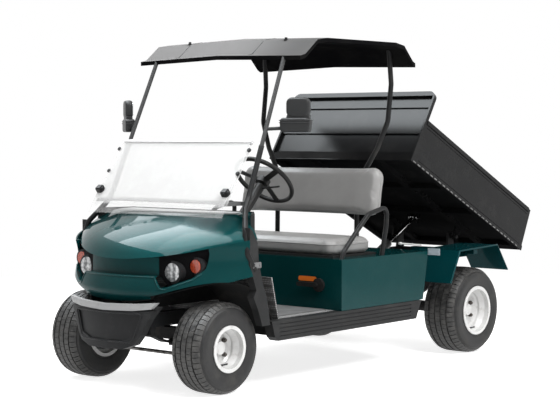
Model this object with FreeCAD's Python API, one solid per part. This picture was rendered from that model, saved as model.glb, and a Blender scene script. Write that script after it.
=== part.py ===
"""Electric utility cart with two seats, a folding windshield, a moulded roof and a
tipping cargo bed.  Millimetres, +Z up, the cart faces -Y and its left side is +X.
Everything is drawn with the front axle at Y = 0 and the ground at Z = 0, and is moved
at export so that the frame's origin lies on the ground under the middle of the cart."""
import FreeCAD, Part
import math
import os
from FreeCAD import Vector

# ---------------------------------------------------------------- running gear
WHEELBASE = 2020.0
FRONT_TRACK = 870.0
REAR_TRACK = 1110.0
FRONT_TYRE_R = 228.6
FRONT_TYRE_W = 210.0
FRONT_FLANGE_R = 116.5
REAR_TYRE_R = 250.0
REAR_TYRE_W = 232.0
REAR_FLANGE_R = 142.0
RIM_WALL = 4.0
RIM_SEAT_DROP = 14.0
DISH_DEPTH = 75.0
STUD_CIRCLE_R = 50.8
STUD_R = 6.0
HUB_R = 33.0
SPINDLE_R = 12.5
RUNNING_GAP = 0.05
KINGPIN_X = 300.0
KINGPIN_R = 8.0
STEER_ARM = 110.0
TIE_ROD_R = 9.0
TIE_ROD_Z = 196.0

# ---------------------------------------------------------------- frame
RAIL_X = 190.0
RAIL_W = 50.0
RAIL_H = 70.0
RAIL_Z = 330.0
SEAT_GAP = 0.3
REAR_RAIL_Z = 490.0
FRAME_FRONT_Y = -225.0
KICK_FOOT_Y = 1600.0
KICK_HEAD_Y = 1700.0
FRAME_REAR_Y = 2480.0
AXLE_BEAM = 60.0
AXLE_BEAM_Z = 279.0

# ---------------------------------------------------------------- front body
HOOD_REAR_Y = 290.0
HOOD_SIDE_Y = 142.0
HOOD_REAR_HALF_W = 430.0
LIP_Z = 664.0
LIP_R = 1837.0
SKIN = 6.0
PANEL_GAP = 2.0
BODY_NOSE_R = 690.0
NOSE_BOTTOM_Z = 456.0
NOSE_BOTTOM_R = 1500.0
RECESS_NOSE_Y = -228.0
LAMP_X = 304.0
LAMP_Z = 604.0
LAMP_R = 46.0
LAMP_PROUD = 8.6
SIGNAL_X = 405.0
SIGNAL_Z = 635.0
SIGNAL_R = 33.0
SIGNAL_PROUD = 11.4
BEZEL_W = 11.0
COWL_REAR_TOP_Y = 76.0
COWL_REAR_LOW_Y = 124.0
ARCH_AHEAD = 40.0
ARCH_R = 330.0
BODY_HALF_W = 600.0
DASH_HALF_W = 548.0

# ---------------------------------------------------------------- cabin
FLOOR_Z = 349.0
FLOOR_T = 8.0
BOX_FRONT_Y = 810.0
BOX_REAR_Y = 1609.0
BOX_FOOT_Y = 1561.0
BOX_TOP_Z = 619.0
BOX_WALL = 8.0
ROCKER_BOTTOM_Z = 246.0
SEAT_HALF_W = 520.0
CUSHION_FRONT_Y = 842.0
CUSHION_REAR_Y = 1236.0
CUSHION_T = 78.0
SEAT_BASE_T = 12.0
SEAT_HINGE_Y = 1252.0
SEAT_HINGE_R = 6.0
SEAT_HINGE_Z = 654.0
SEAT_HINGE_X = (-300.0, 300.0)
SEAT_EYE_HALF = 25.0
BACKREST_HALF_W = 516.0
BACKREST_H = 300.0
BACKREST_T = 74.0
BACKREST_FOOT_Y = 1232.0
BACKREST_FOOT_Z = 818.0
BACKREST_LEAN = 10.0
ARMREST_X = 560.0
ARMREST_R = 13.0

# ---------------------------------------------------------------- canopy
STRUT_R = 14.0
STRUT_TOP_R = 11.0
SLEEVE_TOP_Z = 1222.0
STRUT_BEND = 60.0
ROOF_HALF_W = 572.0
ROOF_T = 22.0
ROOF_CROWN = 16.0
ROOF_FRONT_Y = 498.0
ROOF_REAR_Y = 1516.0
ROOF_LIP_Z = 1680.0
ROOF_TOP_Z = 1780.0
PANE_T = 5.0
FOLD_GAP = 7.0
MIRROR_TURN = 22.0
RIGHT_MIRROR_TURN = 37.0
PANE_HALF_W = 470.0

# ---------------------------------------------------------------- steering wheel
WHEEL_X = 280.0
WHEEL_Y = 555.0
WHEEL_Z = 1039.0
COLUMN_RISE = 46.0
STEERING_R = 175.0
STEERING_GRIP_R = 12.0
COLUMN_SHAFT_R = 11.0
COLUMN_R = 25.0

# ---------------------------------------------------------------- cargo bed
TIP_ANGLE = 25.83
BED_LEN = 1333.0
BED_HALF_W = 525.0
BED_WALL_H = 275.0
BED_FLOOR_H = 42.0
BED_SHEET = 5.0
BED_RAIL = 30.0
HEADBOARD_H = 468.0
HEADBOARD_LEAN = 6.5
HEADBOARD_T = 26.0
BED_CORNER = 18.0
PIVOT_Y = 2448.0
PIVOT_Z = 639.0
PIVOT_R = 10.0
PIVOT_AHEAD = 306.0
PIVOT_BELOW = 50.0
TAILGATE_T = 24.0
TAILGATE_GAP = 6.0
GATE_EDGE_R = TAILGATE_T / 2
GATE_HINGE_R = 6.0
BED_CHANNEL_X = 245.0
LIFT_BASE_Y = 1660.0
LIFT_BASE_Z = 400.0
LIFT_EYE_Y = 2280.0
LIFT_EYE_Z = 690.0
LIFT_EYE_PLAY = 11.0
LIFT_BARREL_R = 26.0
LIFT_ROD_R = 11.0
LIFT_PIN_R = 8.0
LIFT_BOSS_HALF = 19.0
TOW_REACH = 62.0
TOW_PLATE_T = 12.0
TOW_PIN_R = 9.6

# ---------------------------------------------------------------- rear fenders
FENDER_IN_X = 432.0
FENDER_OUT_X = 690.0
FENDER_T = 5.0
FENDER_TOP_Z = 612.0
FENDER_FLAP_Z = 470.0
FENDER_BRACE_Y = 2010.0

# Corner points of the front and rear roof struts, from the roof down.
FRONT_STRUT = ((456.0, 512.0, 1684.0), (488.0, 194.0, 965.0), (497.0, 158.0, 912.0),
               (560.0, 86.0, 812.0), (588.0, 66.0, 700.0), (594.0, 120.0, 612.0))
REAR_STRUT = ((456.0, 1424.0, 1752.0), (461.0, 1440.0, 1560.0), (459.0, 1412.0, 1350.0),
              (400.0, 1394.0, 1200.0), (300.0, 1372.0, 1030.0), (292.0, 1348.0, 880.0),
              (292.0, 1344.0, BOX_TOP_Z))

NODES = {}


def slab(x, y, z):
    """Block between two values on each axis."""
    return Part.makeBox(x[1] - x[0], y[1] - y[0], z[1] - z[0], Vector(x[0], y[0], z[0]))


def bar(start, end, radius):
    """Round bar between two points."""
    a = Vector(*start)
    run = Vector(*end) - a
    return Part.makeCylinder(radius, run.Length, a, run)


def tube(start, end, outer, inner):
    """Round tube between two points."""
    return bar(start, end, outer).cut(bar(start, end, inner))


def prism(points, low, high, axis):
    """Straight-edged outline on the plane across an axis, drawn out along that axis."""
    place = {
        "x": lambda a, b: Vector(low, a, b),
        "y": lambda a, b: Vector(a, low, b),
        "z": lambda a, b: Vector(a, b, low),
    }[axis]
    step = {"x": Vector(1, 0, 0), "y": Vector(0, 1, 0), "z": Vector(0, 0, 1)}[axis]
    ring = [place(a, b) for a, b in points]
    face = Part.Face(Part.makePolygon(ring + ring[:1]))
    return face.extrude(step * (high - low))


def mirrored(shape):
    """The same shape on the cart's other side."""
    return shape.mirror(Vector(0, 0, 0), Vector(1, 0, 0))


def pair(shape):
    """A left piece and its mirror image."""
    return Part.makeCompound([shape, mirrored(shape)])


def joined(shapes):
    """Several touching shapes as one solid."""
    return shapes[0].multiFuse(shapes[1:]).removeSplitter()


def leaned(shape, pivot_y, pivot_z, degrees):
    """A copy turned about a line along X; positive leans the top towards +Y."""
    copy = shape.copy()
    copy.rotate(Vector(0, pivot_y, pivot_z), Vector(1, 0, 0), -degrees)
    return copy


def softened(shape, radius, wanted):
    """Round the straight edges for which wanted(edge) is true."""
    edges = [e for e in shape.Edges if wanted(e)]
    return shape.makeFillet(radius, edges)


def along(axis):
    """A test for straight edges that run along one axis."""
    unit = {"x": Vector(1, 0, 0), "y": Vector(0, 1, 0), "z": Vector(0, 0, 1)}[axis]

    def test(edge):
        if len(edge.Vertexes) != 2:
            return False
        run = edge.Vertexes[1].Point - edge.Vertexes[0].Point
        return run.Length > 1.0 and abs(run.normalize().dot(unit)) > 0.999

    return test


def bent_pipe(points, bend, radius, inner=0.0):
    """Tube through a list of corner points, each corner an arc of the bend radius."""
    corners = [Vector(*p) for p in points]
    edges = []
    at = corners[0]
    for before, corner, after in zip(corners, corners[1:], corners[2:]):
        back = (before - corner).normalize()
        ahead = (after - corner).normalize()
        half = 0.5 * math.acos(max(-1.0, min(1.0, back.dot(ahead))))
        shortest = min((before - corner).Length, (after - corner).Length)
        reach = min(bend / math.tan(half), 0.45 * shortest)
        start = corner + back * reach
        end = corner + ahead * reach
        arc_r = reach * math.tan(half)
        middle = (back + ahead).normalize()
        apex = corner + middle * (arc_r / math.sin(half) - arc_r)
        edges.append(Part.LineSegment(at, start).toShape())
        edges.append(Part.Arc(start, apex, end).toShape())
        at = end
    edges.append(Part.LineSegment(at, corners[-1]).toShape())
    path = Part.Wire(edges)
    way = (corners[1] - corners[0]).normalize()

    def swept(r):
        ring = Part.Wire(Part.Circle(corners[0], way, r).toShape())
        return path.makePipeShell([ring], True, True)

    return swept(radius).cut(swept(inner)) if inner else swept(radius)


def put(name, shape):
    """Keep a finished piece under its node name."""
    NODES[name] = shape


# ================================================================ front body
# Plan outline of the nose: a shallow arc across the front and straight sides.
def nose_ring(height, nose_y, nose_r, half_w, rear_y):
    side_y = nose_y + nose_r - math.sqrt(nose_r ** 2 - half_w ** 2)
    corners = [
        Vector(-half_w, side_y, height),
        Vector(half_w, side_y, height),
        Vector(half_w, rear_y, height),
        Vector(-half_w, rear_y, height),
    ]
    front = Part.Arc(corners[0], Vector(0, nose_y, height), corners[1]).toShape()
    sides = [
        Part.LineSegment(corners[1], corners[2]).toShape(),
        Part.LineSegment(corners[2], corners[3]).toShape(),
        Part.LineSegment(corners[3], corners[0]).toShape(),
    ]
    return Part.Wire([front] + sides)


def nose_loft(levels, rear_y, inset=0.0, drop=0.0):
    rings = []
    for height, nose_y, nose_r, half_w in levels:
        rings.append(nose_ring(height - drop, nose_y + inset, nose_r - inset,
                               half_w - inset, rear_y))
    return Part.makeLoft(rings, True, False)


def lip_bowl(radius):
    """Everything above the hood's smile-shaped lower edge."""
    return Part.makeCylinder(radius, 1600, Vector(0, -800, LIP_Z + LIP_R), Vector(0, 1, 0))


# columns: height, foremost Y on the centre line, plan radius, half width
HOOD_LEVELS = (
    (620.0, -304.0, 690.0, 606.0),
    (664.0, -266.0, 693.0, 604.0),
    (740.0, -200.0, 790.0, 597.0),
    (810.0, -84.0, 880.0, 566.0),
    (855.0, 12.0, 900.0, 500.0),
    (886.0, 110.0, 800.0, 395.0),
)
COWL_LEVELS = (
    (440.0, -262.0, 690.0, 590.0),
    (480.0, -281.0, 690.0, 604.0),
    (530.0, -287.0, 690.0, 610.0),
    (590.0, -270.0, 690.0, 604.0),
    (650.0, -258.0, 690.0, 598.0),
    (780.0, -255.0, 690.0, 595.0),
)


def hood_plan(back):
    """Everything ahead of the hood's rear edge, which bows back between the struts."""
    half = DASH_HALF_W
    ring = ((-700.0, -500.0), (700.0, -500.0), (700.0, HOOD_SIDE_Y + back),
            (half, HOOD_SIDE_Y + back), (HOOD_REAR_HALF_W, HOOD_REAR_Y + back),
            (-HOOD_REAR_HALF_W, HOOD_REAR_Y + back), (-half, HOOD_SIDE_Y + back),
            (-700.0, HOOD_SIDE_Y + back))
    return prism(ring, 400, 1000, "z")


def make_hood():
    outer = nose_loft(HOOD_LEVELS, HOOD_REAR_Y)
    inner = nose_loft(HOOD_LEVELS, HOOD_REAR_Y + SKIN, SKIN, SKIN)
    shell = outer.cut(inner).common(lip_bowl(LIP_R)).common(hood_plan(0))
    groove = bent_pipe(FRONT_STRUT, STRUT_BEND, STRUT_R + PANEL_GAP)
    put("hood", shell.cut(groove).cut(mirrored(groove)))


# Lamp band: half of its front-view outline, mirrored for the other side.
LAMP_BAND = ((240.0, 587.0), (278.0, 532.0), (300.0, 530.0), (410.0, 578.0),
             (456.0, 622.0), (474.0, 700.0), (474.0, 800.0))


def lamp_band(grow):
    right = [(x + grow, z - grow) for x, z in LAMP_BAND]
    left = [(-x, z) for x, z in reversed(right)]
    return prism(right + left, -420, 200, "y")


def arch_cut(radius, inner_x, ahead=0.0):
    """The space of a front wheel arch: a drum over the wheel and everything below it."""
    outer_x = BODY_HALF_W + 60
    hole = bar((inner_x, -ahead, FRONT_TYRE_R), (outer_x, -ahead, FRONT_TYRE_R), radius)
    below = slab((inner_x, outer_x), (-ahead - radius, radius - ahead), (0, FRONT_TYRE_R))
    return hole.fuse(below)


def make_cowl():
    recess = nose_loft(((400.0, RECESS_NOSE_Y, BODY_NOSE_R, BODY_HALF_W),
                        (820.0, RECESS_NOSE_Y, BODY_NOSE_R, BODY_HALF_W)), 400)
    pocket = lamp_band(0).cut(recess)
    recess_back = nose_loft(((400.0, RECESS_NOSE_Y + SKIN, BODY_NOSE_R, BODY_HALF_W),
                             (820.0, RECESS_NOSE_Y + SKIN, BODY_NOSE_R, BODY_HALF_W)), 400)
    backing = lamp_band(SKIN).cut(recess_back)
    outer = nose_loft(COWL_LEVELS, COWL_REAR_LOW_Y).cut(pocket)
    inner = nose_loft(COWL_LEVELS, COWL_REAR_LOW_Y + SKIN, SKIN).cut(backing)
    shell = outer.cut(inner).cut(lip_bowl(LIP_R + PANEL_GAP))
    belly = Part.makeCylinder(NOSE_BOTTOM_R, 1600,
                              Vector(0, -800, NOSE_BOTTOM_Z + NOSE_BOTTOM_R), Vector(0, 1, 0))
    shell = shell.common(belly)
    arch = arch_cut(ARCH_R, 225.0, ARCH_AHEAD)
    behind = prism(((COWL_REAR_TOP_Y, 900.0), (COWL_REAR_TOP_Y, 640.0), (COWL_REAR_LOW_Y, 510.0),
                    (COWL_REAR_LOW_Y, 400.0), (400.0, 400.0), (400.0, 900.0)), 500, 700, "x")
    tools = [arch, behind]
    for x, z, r in ((LAMP_X, LAMP_Z, LAMP_R), (SIGNAL_X, SIGNAL_Z, SIGNAL_R)):
        tools.append(bar((x, -300, z), (x, 60, z), r + SEAT_GAP))
    for tool in tools:
        shell = shell.cut(tool).cut(mirrored(tool))
    groove = bent_pipe(FRONT_STRUT, STRUT_BEND, STRUT_R + SEAT_GAP)
    put("cowl", shell.cut(groove).cut(mirrored(groove)))


def recess_wall_y(x):
    """Front of the recessed lamp wall at a distance from the centre line."""
    return RECESS_NOSE_Y + BODY_NOSE_R - math.sqrt(BODY_NOSE_R ** 2 - x ** 2)


def make_lamps():
    depth = 34.0
    lamp_y = recess_wall_y(LAMP_X) - LAMP_PROUD
    signal_y = recess_wall_y(SIGNAL_X) - SIGNAL_PROUD
    lens = bar((LAMP_X, lamp_y, LAMP_Z), (LAMP_X, lamp_y + depth, LAMP_Z), LAMP_R)
    put("headlamps", pair(lens))
    dome = bar((SIGNAL_X, signal_y, SIGNAL_Z), (SIGNAL_X, signal_y + depth, SIGNAL_Z), SIGNAL_R)
    put("turn_signals", pair(dome))
    wall_front = nose_loft(((400.0, RECESS_NOSE_Y, BODY_NOSE_R, BODY_HALF_W),
                            (820.0, RECESS_NOSE_Y, BODY_NOSE_R, BODY_HALF_W)), 400)
    pods = []
    for x, z, face_y, r in ((LAMP_X, LAMP_Z, lamp_y, LAMP_R),
                            (SIGNAL_X, SIGNAL_Z, signal_y, SIGNAL_R)):
        pod = bar((x, face_y + 4, z), (x, face_y + 90, z), r + BEZEL_W)
        pods.append(pod.cut(bar((x, face_y - 9, z), (x, face_y + depth + 0.3, z), r + 0.3)))
    pod = joined(pods).cut(wall_front)
    put("lamp_bezels", pair(pod))


BUMPER_FRONT_Y = -338.0
BUMPER_R = 760.0
BUMPER_T = 42.0
BUMPER_TOP_Z = 446.0
BUMPER_STRIP_Z = 414.0
BUMPER_BOTTOM_Z = 222.0


def bumper_layer(outline, out, thickness):
    """A front-view outline bent round the bumper's plan arc."""
    blank = prism(outline, -420, -180, "y")
    centre = Vector(0, BUMPER_FRONT_Y - out + BUMPER_R, 0)
    outside = Part.makeCylinder(BUMPER_R, 900, centre)
    inside = Part.makeCylinder(BUMPER_R - thickness, 900, centre)
    return blank.common(outside).cut(inside)


def make_bumper():
    body = ((-304.0, BUMPER_TOP_Z - 6), (-262.0, 380.0), (-222.0, 300.0), (-186.0, 250.0),
            (-120.0, 226.0), (0.0, BUMPER_BOTTOM_Z), (120.0, 226.0), (186.0, 250.0),
            (222.0, 300.0), (262.0, 380.0), (304.0, BUMPER_TOP_Z - 6))
    panel = ((-214.0, 398.0), (-176.0, 292.0), (-108.0, 266.0), (0.0, 260.0), (108.0, 266.0),
             (176.0, 292.0), (214.0, 398.0), (0.0, 386.0))
    shell = bumper_layer(body, 0, BUMPER_T)
    shell = shell.cut(bumper_layer(panel, 1, 9.0))
    strip_seat = ((-330.0, BUMPER_STRIP_Z + 8), (0, BUMPER_STRIP_Z - 2),
                  (330.0, BUMPER_STRIP_Z + 8), (330.0, 520.0), (-330.0, 520.0))
    shell = shell.cut(bumper_layer(strip_seat, 1, 20.0))
    put("bumper", shell)
    strip = ((-276.0, BUMPER_STRIP_Z + 16), (-190.0, BUMPER_STRIP_Z + 6), (0, BUMPER_STRIP_Z),
             (190.0, BUMPER_STRIP_Z + 6), (276.0, BUMPER_STRIP_Z + 16), (306.0, BUMPER_TOP_Z + 16),
             (190.0, BUMPER_TOP_Z + 7), (0, BUMPER_TOP_Z), (-190.0, BUMPER_TOP_Z + 7),
             (-306.0, BUMPER_TOP_Z + 16))
    put("bumper_strip", bumper_layer(strip, 4.0, 22.0))


LINER_T = 5.0
LINER_IN_X = 224.0
LINER_FOOT_Z = 262.0


def wheel_liner():
    """Moulded arch over each front wheel, open below and round the axle."""
    wheel_r = ARCH_R - 1.0
    outer_x = DASH_HALF_W
    outer = arch_cut(wheel_r, LINER_IN_X)
    inner = arch_cut(wheel_r - LINER_T, LINER_IN_X + LINER_T)
    liner = outer.cut(inner)
    liner = liner.common(slab((LINER_IN_X, outer_x), (-400, 400), (LINER_FOOT_Z, 700)))
    liner = liner.cut(slab((0, LINER_IN_X + LINER_T), (-500, 500), (0, 432)))
    behind_nose = nose_loft(((200.0, -250.0, BODY_NOSE_R, 590.0),
                             (700.0, -250.0, BODY_NOSE_R, 590.0)), 400)
    return liner.common(behind_nose)


# Side view of the black pillar that ties the cowl to the step.
PILLAR_T = 44.0
PILLAR = ((COWL_REAR_TOP_Y + 1, 822.0), (96.0, 808.0), (136.0, 745.0), (143.0, 655.0),
          (168.0, 560.0), (208.0, 462.0), (228.0, FLOOR_Z - 2), (232.0, FLOOR_Z - 18),
          (170.0, 330.0), (138.0, 415.0), (104.0, 477.0), (COWL_REAR_LOW_Y + 1, 512.0),
          (COWL_REAR_TOP_Y + 1, 642.0))


def hood_space():
    """The hood's outer form a panel gap larger, to cut its neighbours."""
    grown = nose_loft(HOOD_LEVELS, HOOD_REAR_Y, -PANEL_GAP)
    return grown.common(lip_bowl(LIP_R + PANEL_GAP)).common(hood_plan(PANEL_GAP))


def make_side_pillars():
    pillar = prism(PILLAR, BODY_HALF_W - PILLAR_T, BODY_HALF_W - 1, "x")
    groove = bent_pipe(FRONT_STRUT, STRUT_BEND, STRUT_R + SEAT_GAP)
    put("side_pillars", pair(pillar.cut(groove).cut(hood_space())))


# ================================================================ cabin
DASH = ((HOOD_SIDE_Y, 560.0), (HOOD_SIDE_Y, 884.0), (300.0, 888.0), (366.0, 852.0),
        (400.0, 770.0), (388.0, 690.0), (330.0, 640.0), (300.0, 560.0))
DASH_PLAN = ((-548.0, HOOD_SIDE_Y), (548.0, HOOD_SIDE_Y), (548.0, 172.0), (420.0, 312.0),
             (300.0, 420.0), (-300.0, 420.0), (-420.0, 312.0), (-548.0, 172.0))


def make_dashboard():
    body = prism(DASH, -DASH_HALF_W, DASH_HALF_W, "x").common(prism(DASH_PLAN, 500, 950, "z"))
    body = body.cut(hood_plan(SEAT_GAP))
    shelf = slab((-300, 60), (300, 470), (700, 770))
    column = bar(column_point(-460), column_point(0), COLUMN_R + SEAT_GAP)
    groove = bent_pipe(FRONT_STRUT, STRUT_BEND, STRUT_R + PANEL_GAP)
    for tool in (shelf, column, groove, mirrored(groove)):
        body = body.cut(tool)
    put("dashboard", body)


def column_point(distance):
    """A point on the steering axis, measured from the wheel's centre towards the driver."""
    rise = math.radians(COLUMN_RISE)
    return (WHEEL_X, WHEEL_Y + distance * math.cos(rise), WHEEL_Z + distance * math.sin(rise))


def floor_sheet():
    rear = BOX_FRONT_Y - SEAT_GAP
    profile = ((352.0, FLOOR_Z - FLOOR_T), (rear, FLOOR_Z - FLOOR_T), (rear, FLOOR_Z),
               (356.0, FLOOR_Z), (306.0, 560.0),
               (298.0, 560.0), (336.0, 400.0))
    return prism(profile, -DASH_HALF_W, DASH_HALF_W, "x")


def make_floor():
    """Folded floor pan with a sloping toe board, and a mat on it."""
    mat = slab((-500, 500), (380, BOX_FRONT_Y - 12), (FLOOR_Z - 1, FLOOR_Z + 4))
    put("floor_pan", joined([floor_sheet(), mat]))


def make_rockers():
    """Ribbed step along each side."""
    inner_x = DASH_HALF_W + SEAT_GAP
    outline = ((236.0, FLOOR_Z - 2), (262.0, ROCKER_BOTTOM_Z + 20), (286.0, ROCKER_BOTTOM_Z),
               (1490.0, ROCKER_BOTTOM_Z), (1540.0, FLOOR_Z - 2))
    step = prism(outline, inner_x, BODY_HALF_W + 4, "x")
    for row in range(4):
        z = FLOOR_Z - 20 - row * 20.0
        groove = slab((BODY_HALF_W, BODY_HALF_W + 10), (300, 1440), (z - 3, z + 3))
        step = step.cut(groove)
    put("rockers", pair(step))


def make_seat_box():
    """Sheet box that carries the seat, with a rim round its open top."""
    def body(t):
        side = ((BOX_FRONT_Y + t, FLOOR_Z), (BOX_FRONT_Y + t, BOX_TOP_Z + (t > 0) * 20),
                (BOX_REAR_Y - t, BOX_TOP_Z + (t > 0) * 20), (BOX_FOOT_Y - t, FLOOR_Z))
        return prism(side, -BODY_HALF_W + t, BODY_HALF_W - t, "x")

    deck = slab((-BODY_HALF_W + 4, BODY_HALF_W - 4), (BOX_FRONT_Y + 4, BOX_REAR_Y - 6),
                (BOX_TOP_Z - 5, BOX_TOP_Z))
    hatch = slab((-470, 470), (BOX_FRONT_Y + 70, 1180), (BOX_TOP_Z - 20, BOX_TOP_Z + 20))
    box = joined([body(0).cut(body(BOX_WALL)), deck]).cut(hatch)
    knuckles = []
    for x in SEAT_HINGE_X:
        for side in (-1, 1):
            x0, x1 = sorted((x + side * SEAT_EYE_HALF, x + side * (SEAT_EYE_HALF + 6)))
            knuckles.append(slab((x0 + side * SEAT_GAP, x1 + side * SEAT_GAP),
                                 (SEAT_HINGE_Y - 10, SEAT_HINGE_Y + 10),
                                 (BOX_TOP_Z - 1, SEAT_HINGE_Z + 10)))
        reach = SEAT_EYE_HALF + 6
        knuckles.append(bar((x - reach, SEAT_HINGE_Y, SEAT_HINGE_Z),
                            (x + reach, SEAT_HINGE_Y, SEAT_HINGE_Z), SEAT_HINGE_R))
    put("seat_box", joined([box] + knuckles))


BATTERY_TOP_Z = 560.0


def make_battery_pack():
    put("battery_pack", slab((-440, 440), (900, 1160), (FLOOR_Z - FLOOR_T, BATTERY_TOP_Z)))


def make_seat():
    base_z = BOX_TOP_Z + SEAT_GAP
    base = slab((-SEAT_HALF_W + 12, SEAT_HALF_W - 12), (CUSHION_FRONT_Y + 12, SEAT_HINGE_Y - 14),
                (base_z, base_z + SEAT_BASE_T))
    leaves = []
    half = SEAT_EYE_HALF
    for x in SEAT_HINGE_X:
        leaf = slab((x - half, x + half), (SEAT_HINGE_Y - 20, SEAT_HINGE_Y - 4),
                    (base_z, base_z + SEAT_BASE_T))
        web = slab((x - half, x + half), (SEAT_HINGE_Y - 9, SEAT_HINGE_Y - 4),
                   (base_z, SEAT_HINGE_Z))
        eye = bar((x - half, SEAT_HINGE_Y, SEAT_HINGE_Z), (x + half, SEAT_HINGE_Y, SEAT_HINGE_Z),
                  SEAT_HINGE_R + 4)
        leaves += [leaf, web, eye]
    bore = bar((-400, SEAT_HINGE_Y, SEAT_HINGE_Z), (400, SEAT_HINGE_Y, SEAT_HINGE_Z),
               SEAT_HINGE_R + RUNNING_GAP)
    put("seat_base", joined([base] + leaves).cut(bore))
    foot = BOX_TOP_Z + SEAT_BASE_T + 2 * SEAT_GAP
    cushion = slab((-SEAT_HALF_W, SEAT_HALF_W), (CUSHION_FRONT_Y, CUSHION_REAR_Y),
                   (foot, foot + CUSHION_T))
    cushion = softened(cushion, 26.0, lambda e: along("x")(e) and e.CenterOfMass.z > foot + 5)
    put("seat_cushion", cushion)
    back = slab((-BACKREST_HALF_W, BACKREST_HALF_W), (BACKREST_FOOT_Y, BACKREST_FOOT_Y + BACKREST_T),
                (BACKREST_FOOT_Z, BACKREST_FOOT_Z + BACKREST_H))
    back = softened(back, 60.0, along("y"))
    put("backrest", leaned(back, BACKREST_FOOT_Y, BACKREST_FOOT_Z, BACKREST_LEAN))


SWITCH_X = 451.0
SWITCH_Z = 478.0
SWITCH_R = 36.0


def make_switch():
    """Direction switch on the front of the seat box: round boss and flat lever."""
    boss = bar((SWITCH_X, BOX_FRONT_Y - 15, SWITCH_Z), (SWITCH_X, BOX_FRONT_Y, SWITCH_Z), SWITCH_R)
    lever = slab((SWITCH_X - 142, SWITCH_X), (BOX_FRONT_Y - 24, BOX_FRONT_Y - 12),
                 (SWITCH_Z - 12, SWITCH_Z + 12))
    lever = softened(lever, 11.0, along("y"))
    return joined([boss, lever])


def make_armrests():
    route = ((ARMREST_X, 858.0, BOX_TOP_Z - 6), (ARMREST_X, 882.0, 660.0), (ARMREST_X, 1000.0, 765.0),
             (ARMREST_X, 1100.0, 848.0), (ARMREST_X, 1268.0, 882.0), (ARMREST_X, 1262.0, 780.0),
             (ARMREST_X, 1220.0, BOX_TOP_Z - 6))
    deck = slab((0, 700), (700, 1400), (0, BOX_TOP_Z))
    put("armrests", pair(bent_pipe(route, 60.0, ARMREST_R).cut(deck)))


# ================================================================ canopy
def backrest_rear(z):
    """Y of the backrest's rear face at a height."""
    lean = math.radians(BACKREST_LEAN)
    base_y = BACKREST_FOOT_Y + BACKREST_T * math.cos(lean)
    base_z = BACKREST_FOOT_Z - BACKREST_T * math.sin(lean)
    return base_y + (z - base_z) * math.tan(lean)


def make_struts():
    """Front struts in two diameters, rear struts bent round the backrest."""
    sleeve = bent_pipe((strut_point(SLEEVE_TOP_Z),) + FRONT_STRUT[1:], STRUT_BEND, STRUT_R)
    front = joined([sleeve, bar(strut_point(SLEEVE_TOP_Z - 1), FRONT_STRUT[0], STRUT_TOP_R)])
    rear = bent_pipe(REAR_STRUT, 90.0, STRUT_R)
    post_x = REAR_STRUT[-1][0]
    for z in (870.0, 1000.0):
        plate = prism(((backrest_rear(z) + SEAT_GAP, z), (REAR_STRUT[-2][1], z),
                       (REAR_STRUT[-2][1] + 16, z + 34), (backrest_rear(z + 34) + SEAT_GAP, z + 34)),
                      post_x - 20, post_x + 20, "x")
        rear = rear.fuse(plate)
    below = slab((0, 700), (1300, 1400), (0, BOX_TOP_Z))
    solids = [front.cut(roof_solid(0)), rear.cut(roof_solid(0)).cut(below)]
    solids = [max(s.Solids, key=lambda solid: solid.Volume) for s in solids]
    put("roof_struts", Part.makeCompound(solids + [mirrored(s) for s in solids]))


def roof_profile(x, rise, shrink):
    """Side-view outline of the roof: low lips front and rear, and a raised middle."""
    t = shrink
    points = ((ROOF_FRONT_Y + t, ROOF_LIP_Z + rise), (540.0 + t, ROOF_LIP_Z + 10 + rise),
              (640.0 + t, ROOF_TOP_Z - 12 + rise - t), (720.0, ROOF_TOP_Z + rise - t),
              (1330.0, ROOF_TOP_Z + 2 + rise - t), (1410.0 - t, ROOF_TOP_Z - 12 + rise - t),
              (1492.0 - t, ROOF_LIP_Z + 6 + rise), (ROOF_REAR_Y - t, ROOF_LIP_Z - 6 + rise))
    return [Vector(x, y, z) for y, z in points]


def roof_ring(x, rise):
    top = roof_profile(x, rise, 0)
    under = [p - Vector(0, 0, ROOF_T) for p in reversed(top)]
    ring = top + under
    return Part.makePolygon(ring + ring[:1])


def roof_solid(drop):
    rings = [roof_ring(-ROOF_HALF_W, -drop), roof_ring(0, ROOF_CROWN - drop),
             roof_ring(ROOF_HALF_W, -drop)]
    return Part.makeLoft(rings, True, True)


def make_roof():
    put("roof", roof_solid(0))


# The pane leans forward from the fold line at its top to its lower edge.
PANE_TOP = (265.0, 1240.0)
PANE_BOTTOM = (28.0, 905.0)


def pane_frame():
    """Length of the lower pane and the unit vectors up it and out of its rear face."""
    run = Vector(0, PANE_TOP[0] - PANE_BOTTOM[0], PANE_TOP[1] - PANE_BOTTOM[1])
    up = Vector(run).normalize()
    return run.Length, up, Vector(0, up.z, -up.y)


def pane(offset, low, high, half_low, half_top, thickness=PANE_T):
    """Flat sheet on the pane's slope; low and high are distances up it, offset is off it."""
    length, up, out = pane_frame()
    base = Vector(0, PANE_BOTTOM[0], PANE_BOTTOM[1]) + out * offset
    ring = [base + up * d + Vector(x, 0, 0) for x, d in
            ((-half_low, low), (half_low, low), (half_top, high), (-half_top, high))]
    return Part.Face(Part.makePolygon(ring + ring[:1])).extrude(out * thickness)


def make_windshield():
    """Two clear panes, the upper one folded down in front of the lower."""
    length = pane_frame()[0]
    lower = pane(0, -42, length, PANE_HALF_W + 6, PANE_HALF_W - 14)
    folded = pane(-PANE_T - FOLD_GAP, 8, length, PANE_HALF_W - 4, PANE_HALF_W - 18)
    put("windshield", Part.makeCompound([lower, folded]))


RAIL_BAR_Y = 176.0
RAIL_BAR_Z = 934.0


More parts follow.
